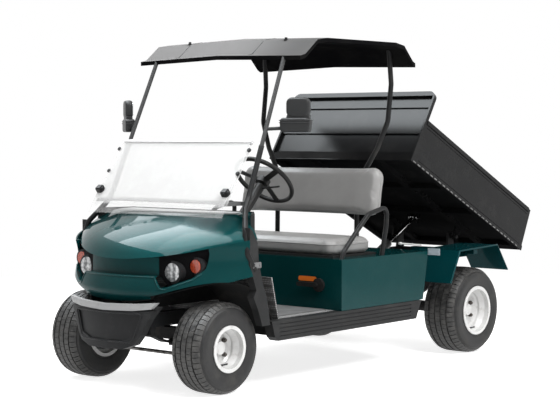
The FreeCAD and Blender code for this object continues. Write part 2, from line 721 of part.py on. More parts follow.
def make_windshield_rail():
    """Cross rail between the struts, pane clamps and the rubber latches below it."""
    rail = slab((-492, 492), (RAIL_BAR_Y - 10, RAIL_BAR_Y + 10), (RAIL_BAR_Z - 10, RAIL_BAR_Z + 10))
    arms = []
    for side in (-1, 1):
        x = side * 452.0
        low_y = pane_y(RAIL_BAR_Z - 10) + SEAT_GAP
        high_y = pane_y(RAIL_BAR_Z + 10) + SEAT_GAP
        arms.append(prism(((RAIL_BAR_Y, RAIL_BAR_Z - 10), (low_y, RAIL_BAR_Z - 10),
                           (high_y, RAIL_BAR_Z + 10), (RAIL_BAR_Y, RAIL_BAR_Z + 10)),
                          x - 9, x + 9, "x"))
    groove = bent_pipe(FRONT_STRUT, STRUT_BEND, STRUT_R + SEAT_GAP)
    rail = joined([rail] + arms).cut(groove).cut(mirrored(groove))
    rail = max(rail.Solids, key=lambda solid: solid.Volume)
    length = pane_frame()[0]
    depth = 2 * PANE_T + FOLD_GAP
    cap = pane(-PANE_T - FOLD_GAP - 2, length - 10, length + 5, PANE_HALF_W - 14,
               PANE_HALF_W - 14, depth + 4)
    for offset in (-PANE_T - FOLD_GAP, 0):
        cap = cap.cut(pane(offset - SEAT_GAP, length - 20, length + SEAT_GAP, PANE_HALF_W + 9,
                           PANE_HALF_W + 9, PANE_T + 2 * SEAT_GAP))
    put("windshield_rail", Part.makeCompound([rail, cap]))


def pane_y(z):
    """Y of the lower pane's rear face at a height."""
    share = (z - PANE_BOTTOM[1]) / (PANE_TOP[1] - PANE_BOTTOM[1])
    tilt = math.atan2(PANE_TOP[0] - PANE_BOTTOM[0], PANE_TOP[1] - PANE_BOTTOM[1])
    return PANE_BOTTOM[0] + share * (PANE_TOP[0] - PANE_BOTTOM[0]) + PANE_T / math.cos(tilt)


# ================================================================ mirrors
def mirror_head(turn):
    """Glass housing on a wider foot, with an arm to the strut, turned to suit the driver."""
    housing = slab((-44, 74), (-22, 22), (22, 118))
    housing = softened(housing, 24.0, lambda e: along("y")(e) and e.CenterOfMass.z > 100)
    foot = slab((-82, 76), (-26, 26), (-56, 17))
    foot = softened(foot, 12.0, along("y"))
    neck = slab((-38, 68), (-12, 12), (15, 24))
    head = joined([housing, neck, foot])
    head.rotate(Vector(0, 0, 0), Vector(0, 0, 1), turn)
    head.translate(Vector(602.0, 430.0, 1346.0))
    arm = bar((560.0, 420.0, 1312.0), strut_point(1306.0), 9.0)
    head = joined([head, arm]).cut(bar(FRONT_STRUT[0], strut_point(1240.0), STRUT_TOP_R + SEAT_GAP))
    return max(head.Solids, key=lambda solid: solid.Volume)


def make_mirrors():
    right = mirrored(mirror_head(RIGHT_MIRROR_TURN))
    put("mirrors", Part.makeCompound([mirror_head(MIRROR_TURN), right]))


def strut_point(z):
    """Centre of the front strut's straight upper run at a height."""
    top, foot = FRONT_STRUT[0], FRONT_STRUT[1]
    share = (z - foot[2]) / (top[2] - foot[2])
    return tuple(b + (a - b) * share for a, b in zip(top, foot))


# ================================================================ steering
def make_steering():
    grip = Part.makeTorus(STEERING_R - STEERING_GRIP_R, STEERING_GRIP_R)
    hub = Part.makeCylinder(36, 34, Vector(0, 0, -30))
    parts = [grip, hub]
    for turn in (90, 210, 330):
        spoke = slab((20, STEERING_R - STEERING_GRIP_R), (-15, 15), (-9, -3))
        spoke.rotate(Vector(0, 0, 0), Vector(0, 0, 1), turn)
        parts.append(spoke)
    shaft = Part.makeCylinder(COLUMN_SHAFT_R, 120, Vector(0, 0, -148))
    wheel = joined(parts + [shaft])
    wheel.rotate(Vector(0, 0, 0), Vector(1, 0, 0), -(90 - COLUMN_RISE))
    wheel.translate(Vector(*column_point(0)))
    put("steering_wheel", wheel)
    jacket = tube(column_point(-330), column_point(-42), COLUMN_R, COLUMN_SHAFT_R + RUNNING_GAP)
    end = bar(column_point(-440), column_point(-160), COLUMN_R)
    stalk = bar(column_point(-60), (WHEEL_X + 130, WHEEL_Y - 30, WHEEL_Z - 30), 5.0)
    core = bar(column_point(-158), column_point(-30), COLUMN_SHAFT_R + RUNNING_GAP)
    return joined([jacket, end, stalk]).cut(core)


def make_controls():
    """Steering column, direction switch, and two pedals hung from the toe board."""
    made = [make_steering(), make_switch()]
    for x, w in ((330.0, 34.0), (190.0, 62.0)):
        pad = slab((x - w, x + w), (392, 400), (400, 500))
        lever = bar((x, 396, 470), (x, 312, 545), 9.0)
        made.append(joined([leaned(pad, 396, 450, -25), lever]).cut(floor_sheet()))
    put("driver_controls", Part.makeCompound(made))


# ================================================================ running gear
def wheel_ring(tyre_r, tyre_w, flange_r):
    """Cross-section of a tyre: bead seat, sidewalls, shoulders and crowned tread."""
    half = tyre_w / 2
    bead = flange_r - RIM_SEAT_DROP + SEAT_GAP
    shoulder = 26.0
    tread_half = half - shoulder
    points = [(-half * 0.80, bead), (-half, tyre_r * 0.52 + flange_r * 0.38),
              (-half * 0.985, tyre_r - shoulder - 10), (-tread_half, tyre_r - 5),
             (-tread_half * 0.62, tyre_r)]
    return points + [(-x, r) for x, r in reversed(points)]


def revolved(points, centre):
    """Turn an outline of (offset along X, radius) about the wheel's axle line."""
    ring = [Vector(centre.x + a, centre.y, centre.z + r) for a, r in points]
    face = Part.Face(Part.makePolygon(ring + ring[:1]))
    return face.revolve(centre, Vector(1, 0, 0), 360)


def rim_section(half, flange_r, disc_x):
    """Drop-centre rim with rolled edges and its pressed disc, as one closed outline."""
    t = RIM_WALL
    well = flange_r - 30
    seat = flange_r - RIM_SEAT_DROP
    outer = [(-half + 8, flange_r), (-half + 8, seat), (-half + 34, seat), (-half + 44, well),
             (half - 60, well), (half - 34, seat), (half - 8, seat), (half - 8, flange_r)]
    inner = [(half - 3, flange_r), (half - 3, seat - t), (half - 32, seat - t),
             (half - 58, well - t), (disc_x + 14, well - t), (disc_x + 3, well - 18),
             (disc_x + 3, 24.0), (disc_x - 3, 24.0), (disc_x - 3, well - 16),
             (disc_x - 16, well - t), (-half + 42, well - t), (-half + 32, seat - t),
             (-half + 3, seat - t), (-half + 3, flange_r)]
    return outer + inner


def make_wheel(side, track, tyre_r, tyre_w, flange_r, stub):
    """One wheel on the cart's left (+1) or right (-1): tyre, and rim with hub and nuts."""
    centre = Vector(track / 2, 0, tyre_r)
    half = tyre_w / 2
    tyre = revolved(wheel_ring(tyre_r, tyre_w, flange_r), centre)
    disc_x = half - 10 - DISH_DEPTH
    rim = revolved(rim_section(half, flange_r, disc_x), centre)
    face = centre.x + disc_x + 3
    hub = bar((face - 6 - stub["hub_in"], 0, tyre_r), (face + 16, 0, tyre_r), HUB_R)
    flange = bar((face - 14, 0, tyre_r), (face - 3, 0, tyre_r), STUD_CIRCLE_R + 16)
    parts = [rim, hub, flange]
    for k in range(4):
        turn = math.radians(45 + 90 * k)
        y = STUD_CIRCLE_R * math.cos(turn)
        z = tyre_r + STUD_CIRCLE_R * math.sin(turn)
        parts.append(bar((face - 10, y, z), (face + 14, y, z), STUD_R))
        parts.append(nut((face - 1, y, z), 10.5, 11.0))
    wheel = joined(parts)
    if stub["shaft"]:
        shaft = bar((stub["shaft"], 0, tyre_r), (face - 2, 0, tyre_r), stub["shaft_r"])
        drum = bar((face - 6 - DRUM_W, 0, tyre_r), (face - 6, 0, tyre_r), DRUM_R)
        wheel = joined([wheel, shaft, drum])
    else:
        bore = bar((face - 7 - stub["hub_in"], 0, tyre_r), (face + 4, 0, tyre_r),
                   SPINDLE_R + RUNNING_GAP)
        wheel = wheel.cut(bore)
    if side < 0:
        return mirrored(tyre), mirrored(wheel)
    return tyre, wheel


def nut(at, across, height):
    """Hexagon nut standing out along +X."""
    ring = [Vector(at[0], at[1] + across * math.cos(math.radians(60 * k)),
                   at[2] + across * math.sin(math.radians(60 * k))) for k in range(6)]
    return Part.Face(Part.makePolygon(ring + ring[:1])).extrude(Vector(height, 0, 0))


AXLE_TUBE_R = 32.0
DIFF_X = 20.0
AXLE_SHAFT_R = 15.0
FRONT_HUB_IN = 60.0
REAR_HUB_IN = 20.0
REAR_SHAFT_IN = 330.0
DRUM_R = 88.0
DRUM_W = 70.0


def make_wheels():
    front = {"hub_in": FRONT_HUB_IN, "shaft": 0, "shaft_r": 0}
    rear = {"hub_in": REAR_HUB_IN, "shaft": REAR_SHAFT_IN, "shaft_r": AXLE_SHAFT_R}
    for side, word in ((1, "left"), (-1, "right")):
        tyre, wheel = make_wheel(side, FRONT_TRACK, FRONT_TYRE_R, FRONT_TYRE_W,
                                 FRONT_FLANGE_R, front)
        put("front_" + word + "_tyre", tyre)
        put("front_" + word + "_rim", wheel)
        tyre, wheel = make_wheel(side, REAR_TRACK, REAR_TYRE_R, REAR_TYRE_W,
                                 REAR_FLANGE_R, rear)
        for shape in (tyre, wheel):
            shape.translate(Vector(0, WHEELBASE, 0))
        put("rear_" + word + "_tyre", tyre)
        put("rear_" + word + "_rim", wheel)


KNUCKLE_H = 56.0
EAR_T = 12.0


def make_front_axle():
    half = AXLE_BEAM / 2
    z0 = AXLE_BEAM_Z - half
    beam = slab((-262, 262), (-half, half), (z0, z0 + AXLE_BEAM))
    beam = beam.cut(slab((-255, 255), (-half + 4, half - 4), (z0 + 4, z0 + AXLE_BEAM - 4)))
    parts = [beam]
    low = FRONT_TYRE_R - KNUCKLE_H / 2
    for side in (-1, 1):
        x = side * KINGPIN_X
        web = slab((min(side * 250, side * 264), max(side * 250, side * 264)), (-half, half),
                   (low - EAR_T - 1, z0 + AXLE_BEAM))
        top = slab((min(side * 262, side * 322), max(side * 262, side * 322)), (-22, 22),
                   (low + KNUCKLE_H + 1, low + KNUCKLE_H + 1 + EAR_T))
        foot = slab((min(side * 262, side * 322), max(side * 262, side * 322)), (-22, 22),
                    (low - 1 - EAR_T, low - 1))
        pin = bar((x, 0, low - 6 - EAR_T), (x, 0, low + KNUCKLE_H + EAR_T + 6), KINGPIN_R)
        parts += [web, top, foot, pin]
    for side in (-1, 1):
        parts.append(leaf_spring(side * 180.0, 0.0, z0, 200.0, RAIL_Z, 45.0))
    put("front_axle", joined(parts))


def leaf_spring(x, mid_y, seat_z, reach, rail_z, width):
    """Leaf pack bowed between hangers on a rail, clamped under or over an axle."""
    bow = []
    for share in (-1.0, -0.5, 0.0, 0.5, 1.0):
        bow.append((mid_y + share * reach, seat_z - 8 + (rail_z - 24 - seat_z) * share ** 2))
    upper = bow + [(y, z - 12) for y, z in reversed(bow)]
    leaf = prism(upper, x - width / 2, x + width / 2, "x")
    shapes = [leaf]
    for share in (-1.0, 1.0):
        y = mid_y + share * reach
        eye = bar((x - width / 2, y, rail_z - 38), (x + width / 2, y, rail_z - 38), 13.0)
        hanger = slab((x - width / 2 - 4, x + width / 2 + 4), (y - 16, y + 16),
                      (rail_z - 30, rail_z))
        shapes += [eye, hanger]
    clamp = slab((x - width / 2, x + width / 2), (mid_y - 40, mid_y + 40),
                 (seat_z - 28, seat_z + 3))
    return joined(shapes + [clamp])


def make_knuckles():
    low = FRONT_TYRE_R - KNUCKLE_H / 2
    barrel = bar((KINGPIN_X, 0, low), (KINGPIN_X, 0, low + KNUCKLE_H), 19.0)
    face = FRONT_TRACK / 2 + FRONT_TYRE_W / 2 - 10 - DISH_DEPTH
    spindle = bar((KINGPIN_X, 0, FRONT_TYRE_R), (face - 8, 0, FRONT_TYRE_R), SPINDLE_R)
    collar = bar((KINGPIN_X, 0, FRONT_TYRE_R),
                 (face - 9 - FRONT_HUB_IN, 0, FRONT_TYRE_R), 22.0)
    arm = slab((KINGPIN_X - 13, KINGPIN_X + 13), (-STEER_ARM - 14, 0),
               (TIE_ROD_Z + TIE_ROD_R + SEAT_GAP, TIE_ROD_Z + TIE_ROD_R + 12))
    knuckle = joined([barrel, spindle, collar, arm])
    pin = bar((KINGPIN_X, 0, low - 5), (KINGPIN_X, 0, low + KNUCKLE_H + 5),
              KINGPIN_R + RUNNING_GAP)
    knuckle = knuckle.cut(pin)
    put("left_knuckle", knuckle)
    put("right_knuckle", mirrored(knuckle))


def make_tie_rod():
    rod = bar((-KINGPIN_X, -STEER_ARM, TIE_ROD_Z), (KINGPIN_X, -STEER_ARM, TIE_ROD_Z), TIE_ROD_R)
    ends = [bar((s * KINGPIN_X, -STEER_ARM, TIE_ROD_Z - 15),
                (s * KINGPIN_X, -STEER_ARM, TIE_ROD_Z + 9), 15.0) for s in (-1, 1)]
    put("tie_rod", joined([rod] + ends))


def make_frame():
    """Ladder frame: box rails raised over both axles, and the members welded between them."""
    floor_top = FLOOR_Z - FLOOR_T - SEAT_GAP
    floor_low = floor_top - RAIL_H
    top = RAIL_Z + RAIL_H
    rear_top = REAR_RAIL_Z + RAIL_H
    outline = ((FRAME_FRONT_Y, RAIL_Z), (228.0, RAIL_Z), (318.0, floor_low),
               (KICK_FOOT_Y, floor_low), (KICK_HEAD_Y, REAR_RAIL_Z), (FRAME_REAR_Y, REAR_RAIL_Z),
               (FRAME_REAR_Y, rear_top), (KICK_HEAD_Y - 30, rear_top),
               (KICK_FOOT_Y - 30, floor_top), (330.0, floor_top), (240.0, top),
               (FRAME_FRONT_Y, top))
    in_x = RAIL_X - RAIL_W / 2
    out_x = RAIL_X + RAIL_W / 2
    plate = ((PIVOT_Y - 45, REAR_RAIL_Z + 20), (PIVOT_Y + 32, REAR_RAIL_Z + 20),
             (PIVOT_Y + 26, PIVOT_Z + 24), (PIVOT_Y - 26, PIVOT_Z + 24))
    rail = joined([prism(outline, in_x, out_x, "x"), prism(plate, RAIL_X - 8, RAIL_X + 8, "x"),
                   bar((RAIL_X, PIVOT_Y, PIVOT_Z), (BED_CHANNEL_X - 4, PIVOT_Y, PIVOT_Z), PIVOT_R)])
    rails = pair(rail)
    put("frame", rails)
    # columns: front Y, half width, low Z, top Z
    members = ((FRAME_FRONT_Y, in_x, RAIL_Z, top), (420.0, DASH_HALF_W, floor_low + 14, floor_top),
               (780.0, DASH_HALF_W, floor_low + 14, floor_top),
               (1450.0, DASH_HALF_W, floor_low + 14, floor_top),
               (LIFT_BASE_Y - 68, in_x, LIFT_BASE_Z - 80, LIFT_BASE_Z + 4),
               (1930.0, out_x, REAR_RAIL_Z - 50, REAR_RAIL_Z + 4),
               (FRAME_REAR_Y - 50, in_x, REAR_RAIL_Z, rear_top))
    parts = [slab((-half_w, half_w), (y, y + 48), (low, high)) for y, half_w, low, high in members]
    bumper_back = Part.makeCylinder(BUMPER_R - BUMPER_T - SEAT_GAP, 900,
                                    Vector(0, BUMPER_FRONT_Y + BUMPER_R, 0))
    for side in (-1, 1):
        horn_x = sorted((side * 110.0, side * 165.0))
        horn = slab(horn_x, (-300, FRAME_FRONT_Y + 20), (RAIL_Z + 10, RAIL_Z + 60))
        parts.append(horn.common(bumper_back))
        x0, x1 = sorted((side * (LIFT_BOSS_HALF + SEAT_GAP), side * (LIFT_BOSS_HALF + 12)))
        parts.append(slab((x0, x1), (LIFT_BASE_Y - 30, LIFT_BASE_Y + 18),
                          (LIFT_BASE_Z - 30, LIFT_BASE_Z + 22)))
    reach = LIFT_BOSS_HALF + 12
    parts.append(bar((-reach, LIFT_BASE_Y, LIFT_BASE_Z), (reach, LIFT_BASE_Y, LIFT_BASE_Z),
                     LIFT_PIN_R))
    parts.append(slab((-60, 60), (FRAME_REAR_Y - 10, FRAME_REAR_Y + TOW_REACH),
                      (REAR_RAIL_Z + 20, REAR_RAIL_Z + 20 + TOW_PLATE_T)))
    pin_hole = bar((0, FRAME_REAR_Y + TOW_REACH - 28, REAR_RAIL_Z),
                   (0, FRAME_REAR_Y + TOW_REACH - 28, rear_top), TOW_PIN_R)
    welded = parts[0].fuse(parts[1:]).cut(rails).cut(pin_hole)
    put("cross_members", Part.makeCompound([lump for lump in welded.removeSplitter().Solids]))


def make_rear_axle():
    z = REAR_TYRE_R
    y = WHEELBASE
    half = REAR_TRACK / 2 + REAR_TYRE_W / 2 - 10 - DISH_DEPTH - 3 - DRUM_W - 5
    core = bar((-half, y, z), (half, y, z), AXLE_TUBE_R)
    plate = 90.0
    ends = [bar((s * (half - 12), y, z), (s * half, y, z), plate) for s in (-1, 1)]
    case = revolved(((-70, 0), (-70, 44), (-38, 92), (58, 92), (90, 44), (90, 0)),
                    Vector(DIFF_X, y, z))
    motor = revolved(((-165, 0), (-165, 60), (-150, 84), (60, 84), (74, 60), (74, 0)),
                     Vector(DIFF_X, y - 152, z + 22))
    neck = slab((DIFF_X - 26, DIFF_X + 46), (y - 152, y), (z - 36, z + 62))
    parts = [core] + ends + [case, motor, neck]
    for side in (-1, 1):
        parts.append(leaf_spring(side * RAIL_X, y, z + AXLE_TUBE_R + 22, 290.0, REAR_RAIL_Z, 45.0))
    axle = joined(parts)
    for side in (-1, 1):
        a = (side * (REAR_SHAFT_IN - 3), y, z)
        b = (side * (half + 2), y, z)
        axle = axle.cut(bar(a, b, AXLE_SHAFT_R + RUNNING_GAP))
    put("rear_axle", axle)


# ================================================================ rear body
FENDER = ((1708.0, FENDER_FLAP_Z - 38), (1804.0, FENDER_TOP_Z), (2204.0, FENDER_TOP_Z + 14),
          (2322.0, FENDER_FLAP_Z))


def make_fenders():
    """Moulded liners over the front wheels; folded sheets braced to the rear rails."""
    inset = ((6, -2), (4, -FENDER_T), (-2, -FENDER_T), (-6, -2))
    under = [(y + dy, z + dz) for (y, z), (dy, dz) in zip(FENDER, inset)]
    sheet = prism(list(FENDER) + list(reversed(under)), FENDER_IN_X, FENDER_OUT_X, "x")
    brace_y = (FENDER_BRACE_Y - 20, FENDER_BRACE_Y + 20)
    post_y = (FENDER_BRACE_Y - 25, FENDER_BRACE_Y + 25)
    rail_side = RAIL_X + RAIL_W / 2
    brace = slab((rail_side, FENDER_OUT_X - 30), brace_y, (FENDER_TOP_Z - 31, FENDER_TOP_Z - 6))
    wall = slab((FENDER_IN_X, FENDER_IN_X + FENDER_T), (1760, 2270), (FENDER_TOP_Z - 72, FENDER_TOP_Z))
    post = slab((rail_side, rail_side + 20), post_y, (FENDER_TOP_Z - 92, FENDER_TOP_Z - 22))
    fender = joined([sheet, brace, wall, post])
    liner = wheel_liner()
    put("fenders", Part.makeCompound([fender, mirrored(fender), liner, mirrored(liner)]))


def make_tail_lamps():
    low, high = FENDER[3], FENDER[2]
    slope = (high[0] - low[0]) / (high[1] - low[1])

    def flap_y(z):
        return low[0] + (z - low[1]) * slope + SEAT_GAP

    lamp = prism(((flap_y(500.0), 500.0), (flap_y(500.0) + 26, 500.0),
                  (flap_y(500.0) + 26, 540.0), (flap_y(540.0), 540.0)), 480.0, 570.0, "x")
    put("tail_lamps", pair(lamp))


# ================================================================ cargo bed
def bed_place(shape):
    """Move a shape from the bed's own level frame to its raised resting place."""
    copy = shape.copy()
    copy.translate(Vector(0, PIVOT_Y + PIVOT_AHEAD - BED_LEN, PIVOT_Z + PIVOT_BELOW))
    copy.rotate(Vector(0, PIVOT_Y, PIVOT_Z), Vector(1, 0, 0), -TIP_ANGLE)
    return copy


def make_bed():
    """Sheet tub: floor on a ladder of channels, two railed sides and a tall headboard."""
    w = BED_HALF_W
    floor_top = BED_FLOOR_H
    open_end = BED_LEN - TAILGATE_T - TAILGATE_GAP
    floor = slab((-w + 2, w - 2), (12, open_end), (floor_top - BED_SHEET, floor_top))
    foot = HEADBOARD_T + BED_CORNER
    parts = [floor, prism(((HEADBOARD_T - 4, floor_top - 2), (foot, floor_top - 2), (foot, floor_top),
                           (HEADBOARD_T + 6, floor_top + BED_CORNER),
                           (HEADBOARD_T - 4, floor_top + BED_CORNER)), -w + 2, w - 2, "x")]
    for side in (-1, 1):
        toe = side * (w - BED_RAIL - 2)
        corner = prism(((side * (w - 1), floor_top - 2), (toe, floor_top - 2), (toe, floor_top),
                        (side * (w - BED_SHEET), floor_top + BED_CORNER),
                        (side * (w - 1), floor_top + BED_CORNER)), 12, open_end, "y")
        parts.append(corner)
        x0, x1 = sorted((side * (w - BED_SHEET), side * w))
        panel = prism(((0, 0), (BED_LEN, 0), (BED_LEN, 2 * GATE_EDGE_R), (open_end, 60.0),
                       (open_end, BED_WALL_H), (46, BED_WALL_H)), x0, x1, "x")
        x2, x3 = sorted((side * (w - 22), side * (w - 1)))
        parts.append(bar((x2, BED_LEN - GATE_EDGE_R, GATE_EDGE_R),
                         (x3, BED_LEN - GATE_EDGE_R, GATE_EDGE_R), GATE_HINGE_R))
        x0, x1 = sorted((side * (w - BED_RAIL), side * w))
        rail = slab((x0, x1), (60, open_end), (BED_WALL_H - 26, BED_WALL_H))
        sill = slab((x0, x1), (0, open_end), (0, 14))
        parts += [panel, rail, sill]
        x0, x1 = sorted((side * (BED_CHANNEL_X - 20), side * (BED_CHANNEL_X + 20)))
        parts.append(slab((x0, x1), (40, open_end), (4, floor_top - 2)))
    for y in (0.0, 400.0, 770.0, open_end - 40):
        parts.append(slab((-w + 3, w - 3), (y, y + 40), (4, floor_top - 2)))
    board = slab((-w, w), (0, HEADBOARD_T), (0, HEADBOARD_H))
    board = softened(board, 46.0, lambda e: along("y")(e) and e.CenterOfMass.z > HEADBOARD_H - 1)
    board = board.cut(slab((-w + 12, w - 12), (-1, HEADBOARD_T - BED_SHEET), (10, HEADBOARD_H - 30)))
    for z in (187.0, 364.0):
        board = board.fuse(slab((-w + 14, w - 14), (HEADBOARD_T - 14, HEADBOARD_T + 6), (z, z + 16)))
    parts.append(leaned(board, 0, 0, HEADBOARD_LEAN))
    tub = joined(parts)
    lug_z = -PIVOT_BELOW
    lug_y = BED_LEN - PIVOT_AHEAD
    for side in (-1, 1):
        x0, x1 = sorted((side * (BED_CHANNEL_X - 20), side * (BED_CHANNEL_X - 8)))
        lug = prism(((lug_y - 34, 8), (lug_y - 24, lug_z - 22), (lug_y + 24, lug_z - 22),
                     (lug_y + 34, 8)), x0, x1, "x")
        lug = lug.cut(bar((x0 - 5, lug_y, lug_z), (x1 + 5, lug_y, lug_z), PIVOT_R + RUNNING_GAP))
        tub = tub.fuse(lug)
    eye_y = LIFT_EYE_Y - (PIVOT_Y + PIVOT_AHEAD - BED_LEN)
    eye_z = LIFT_EYE_Z - (PIVOT_Z + PIVOT_BELOW)
    for side in (-1, 1):
        x0, x1 = sorted((side * (LIFT_BOSS_HALF + 2), side * (LIFT_BOSS_HALF + 10)))
        hole_r = LIFT_PIN_R + LIFT_EYE_PLAY
        ear = slab((x0, x1), (eye_y - hole_r - 10, eye_y + hole_r + 10),
                   (eye_z - hole_r - 10, floor_top - 3))
        tub = tub.fuse(ear.cut(bar((x0 - 5, eye_y, eye_z), (x1 + 5, eye_y, eye_z), hole_r)))
    put("cargo_bed", bed_place(tub.removeSplitter()))


def make_tailgate():
    """Drop-down rear panel, its rounded lower edge turning on pins in the bed's sides."""
    w = BED_HALF_W - BED_SHEET - 1
    y0 = BED_LEN - TAILGATE_T
    gate = slab((-w, w), (y0, BED_LEN), (GATE_EDGE_R, BED_WALL_H))
    edge = bar((-w, BED_LEN - GATE_EDGE_R, GATE_EDGE_R), (w, BED_LEN - GATE_EDGE_R, GATE_EDGE_R),
               GATE_EDGE_R)
    gate = gate.fuse(edge).cut(slab((-w + 22, w - 22), (y0 + 6, BED_LEN + 1),
                                    (30, BED_WALL_H - 26)))
    for x in (-260.0, 0.0, 260.0):
        gate = gate.fuse(slab((x - 12, x + 12), (y0, BED_LEN), (20, BED_WALL_H - 20)))
    for side in (-1, 1):
        x0, x1 = sorted((side * (w - 20), side * (w + 5)))
        gate = gate.cut(bar((x0, BED_LEN - GATE_EDGE_R, GATE_EDGE_R),
                            (x1, BED_LEN - GATE_EDGE_R, GATE_EDGE_R), GATE_HINGE_R + RUNNING_GAP))
    put("tailgate", bed_place(gate.removeSplitter()))


def lift_eye_at_rest():
    point = Part.Vertex(Vector(0, LIFT_EYE_Y, LIFT_EYE_Z))
    point.rotate(Vector(0, PIVOT_Y, PIVOT_Z), Vector(1, 0, 0), -TIP_ANGLE)
    return point.Point


def make_lift():
    """Electric lift: barrel on the frame, rod reaching to the bed."""
    base = Vector(0, LIFT_BASE_Y, LIFT_BASE_Z)
    eye = lift_eye_at_rest()
    way = (eye - base).normalize()
    reach = (eye - base).Length

    def spot(distance):
        return tuple(base + way * distance)

    barrel_end = 445.0
    boss = bar((-LIFT_BOSS_HALF, LIFT_BASE_Y, LIFT_BASE_Z),
               (LIFT_BOSS_HALF, LIFT_BASE_Y, LIFT_BASE_Z), 16.0)
    barrel = joined([boss, bar(spot(0), spot(60), 14.0),
                     bar(spot(40), spot(barrel_end), LIFT_BARREL_R)])
    motor = bar(spot(70), spot(240), 24.0)
    motor.translate(Vector(0, 0, 46))
    link = bar(spot(80), spot(110), 22.0)
    link.translate(Vector(0, 0, 24))
    barrel = joined([barrel, motor, link])
    barrel = barrel.cut(bar((-40, LIFT_BASE_Y, LIFT_BASE_Z), (40, LIFT_BASE_Y, LIFT_BASE_Z),
                            LIFT_PIN_R + RUNNING_GAP))
    barrel = barrel.cut(bar(spot(250), spot(barrel_end + 5), LIFT_ROD_R + RUNNING_GAP))
    put("lift_barrel", barrel)
    rod = bar(spot(330), spot(reach), LIFT_ROD_R)
    eye_boss = bar((-LIFT_BOSS_HALF, eye.y, eye.z), (LIFT_BOSS_HALF, eye.y, eye.z), 16.0)
    pin_half = LIFT_BOSS_HALF + 14
    pin = bar((-pin_half, eye.y, eye.z), (pin_half, eye.y, eye.z), LIFT_PIN_R)
    put("lift_rod", joined([rod, eye_boss, pin]))


# ================================================================ build
make_hood()
make_cowl()
make_lamps()
make_bumper()
make_side_pillars()
make_dashboard()
make_floor()
make_rockers()
make_seat_box()
make_battery_pack()
make_seat()
make_armrests()
make_struts()
make_roof()
make_windshield()
make_windshield_rail()
make_mirrors()
make_controls()
make_wheels()
make_front_axle()
make_knuckles()
make_tie_rod()
make_frame()
make_rear_axle()
make_fenders()
make_tail_lamps()
make_bed()
make_tailgate()
make_lift()

# The frame's origin is on the ground at the middle of the cart's overall length.
boxes = [shape.optimalBoundingBox(False) for shape in NODES.values()]
MIDDLE_Y = (min(b.YMin for b in boxes) + max(b.YMax for b in boxes)) / 2

os.makedirs("parts", exist_ok=True)
for name, shape in NODES.items():
    placed = shape.copy()
    placed.translate(Vector(0, -MIDDLE_Y, 0))
    placed.exportStep("parts/" + name + ".step")
    print(name, len(placed.Solids), "solids, volume", round(placed.Volume / 1000.0), "cm3",
          "valid" if placed.isValid() else "INVALID")
print("front axle at Y =", round(-MIDDLE_Y, 3))
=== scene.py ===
import math

import bmesh
import bpy
import numpy as np
from mathutils import Matrix, Vector
from mathutils.bvhtree import BVHTree


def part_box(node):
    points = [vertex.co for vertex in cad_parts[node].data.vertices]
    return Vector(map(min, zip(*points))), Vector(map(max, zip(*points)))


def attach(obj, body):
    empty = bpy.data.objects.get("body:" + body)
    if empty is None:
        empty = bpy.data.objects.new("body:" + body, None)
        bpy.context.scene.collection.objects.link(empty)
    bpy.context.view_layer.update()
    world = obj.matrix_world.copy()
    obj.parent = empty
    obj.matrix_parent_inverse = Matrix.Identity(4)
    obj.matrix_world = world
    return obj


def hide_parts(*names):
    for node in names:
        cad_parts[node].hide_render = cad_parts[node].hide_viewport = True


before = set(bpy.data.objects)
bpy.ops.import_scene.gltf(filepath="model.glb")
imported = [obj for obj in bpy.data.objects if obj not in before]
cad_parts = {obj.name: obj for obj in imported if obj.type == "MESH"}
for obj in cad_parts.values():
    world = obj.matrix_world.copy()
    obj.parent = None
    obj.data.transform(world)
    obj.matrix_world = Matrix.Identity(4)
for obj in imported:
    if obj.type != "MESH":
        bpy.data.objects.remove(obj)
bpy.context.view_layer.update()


# ================================================================ ladder frame
# Box-section rails raised over both axles, with welded cross members, lift
# bracket and hitch plate. Sprayed satin black; road dust dulls it in patches.
class Flow:
    """A value on its way through a node tree; sums are written on it as on a number."""

    def __init__(self, nodes, socket):
        self.nodes = nodes
        self.socket = socket

    def __add__(self, other):
        return self.nodes.math("ADD", self, other)

    def __radd__(self, other):
        return self.nodes.math("ADD", other, self)

    def __sub__(self, other):
        return self.nodes.math("SUBTRACT", self, other)

    def __rsub__(self, other):
        return self.nodes.math("SUBTRACT", other, self)

    def __mul__(self, other):
        return self.nodes.math("MULTIPLY", self, other)

    def __gt__(self, edge):
        return self.nodes.math("GREATER_THAN", self, edge)

    def __lt__(self, edge):
        return self.nodes.math("LESS_THAN", self, edge)

    def __pow__(self, power):
        return self.nodes.math("POWER", self, power)


class Nodes:
    """A node tree, built by calls that make, set and join one node each."""

    def __init__(self, tree):
        self.tree = tree

    def node(self, kind, settings=None, sockets=None, out=0):
        made = self.tree.nodes.new(kind)
        for setting, value in (settings or {}).items():
            setattr(made, setting, value)
        for socket, value in (sockets or {}).items():
            if isinstance(value, Flow):
                self.tree.links.new(value.socket, made.inputs[socket])
            else:
                made.inputs[socket].default_value = value
        return Flow(self, made.outputs[out])

    def math(self, operation, first, second):
        return self.node("ShaderNodeMath", {"operation": operation}, {0: first, 1: second})


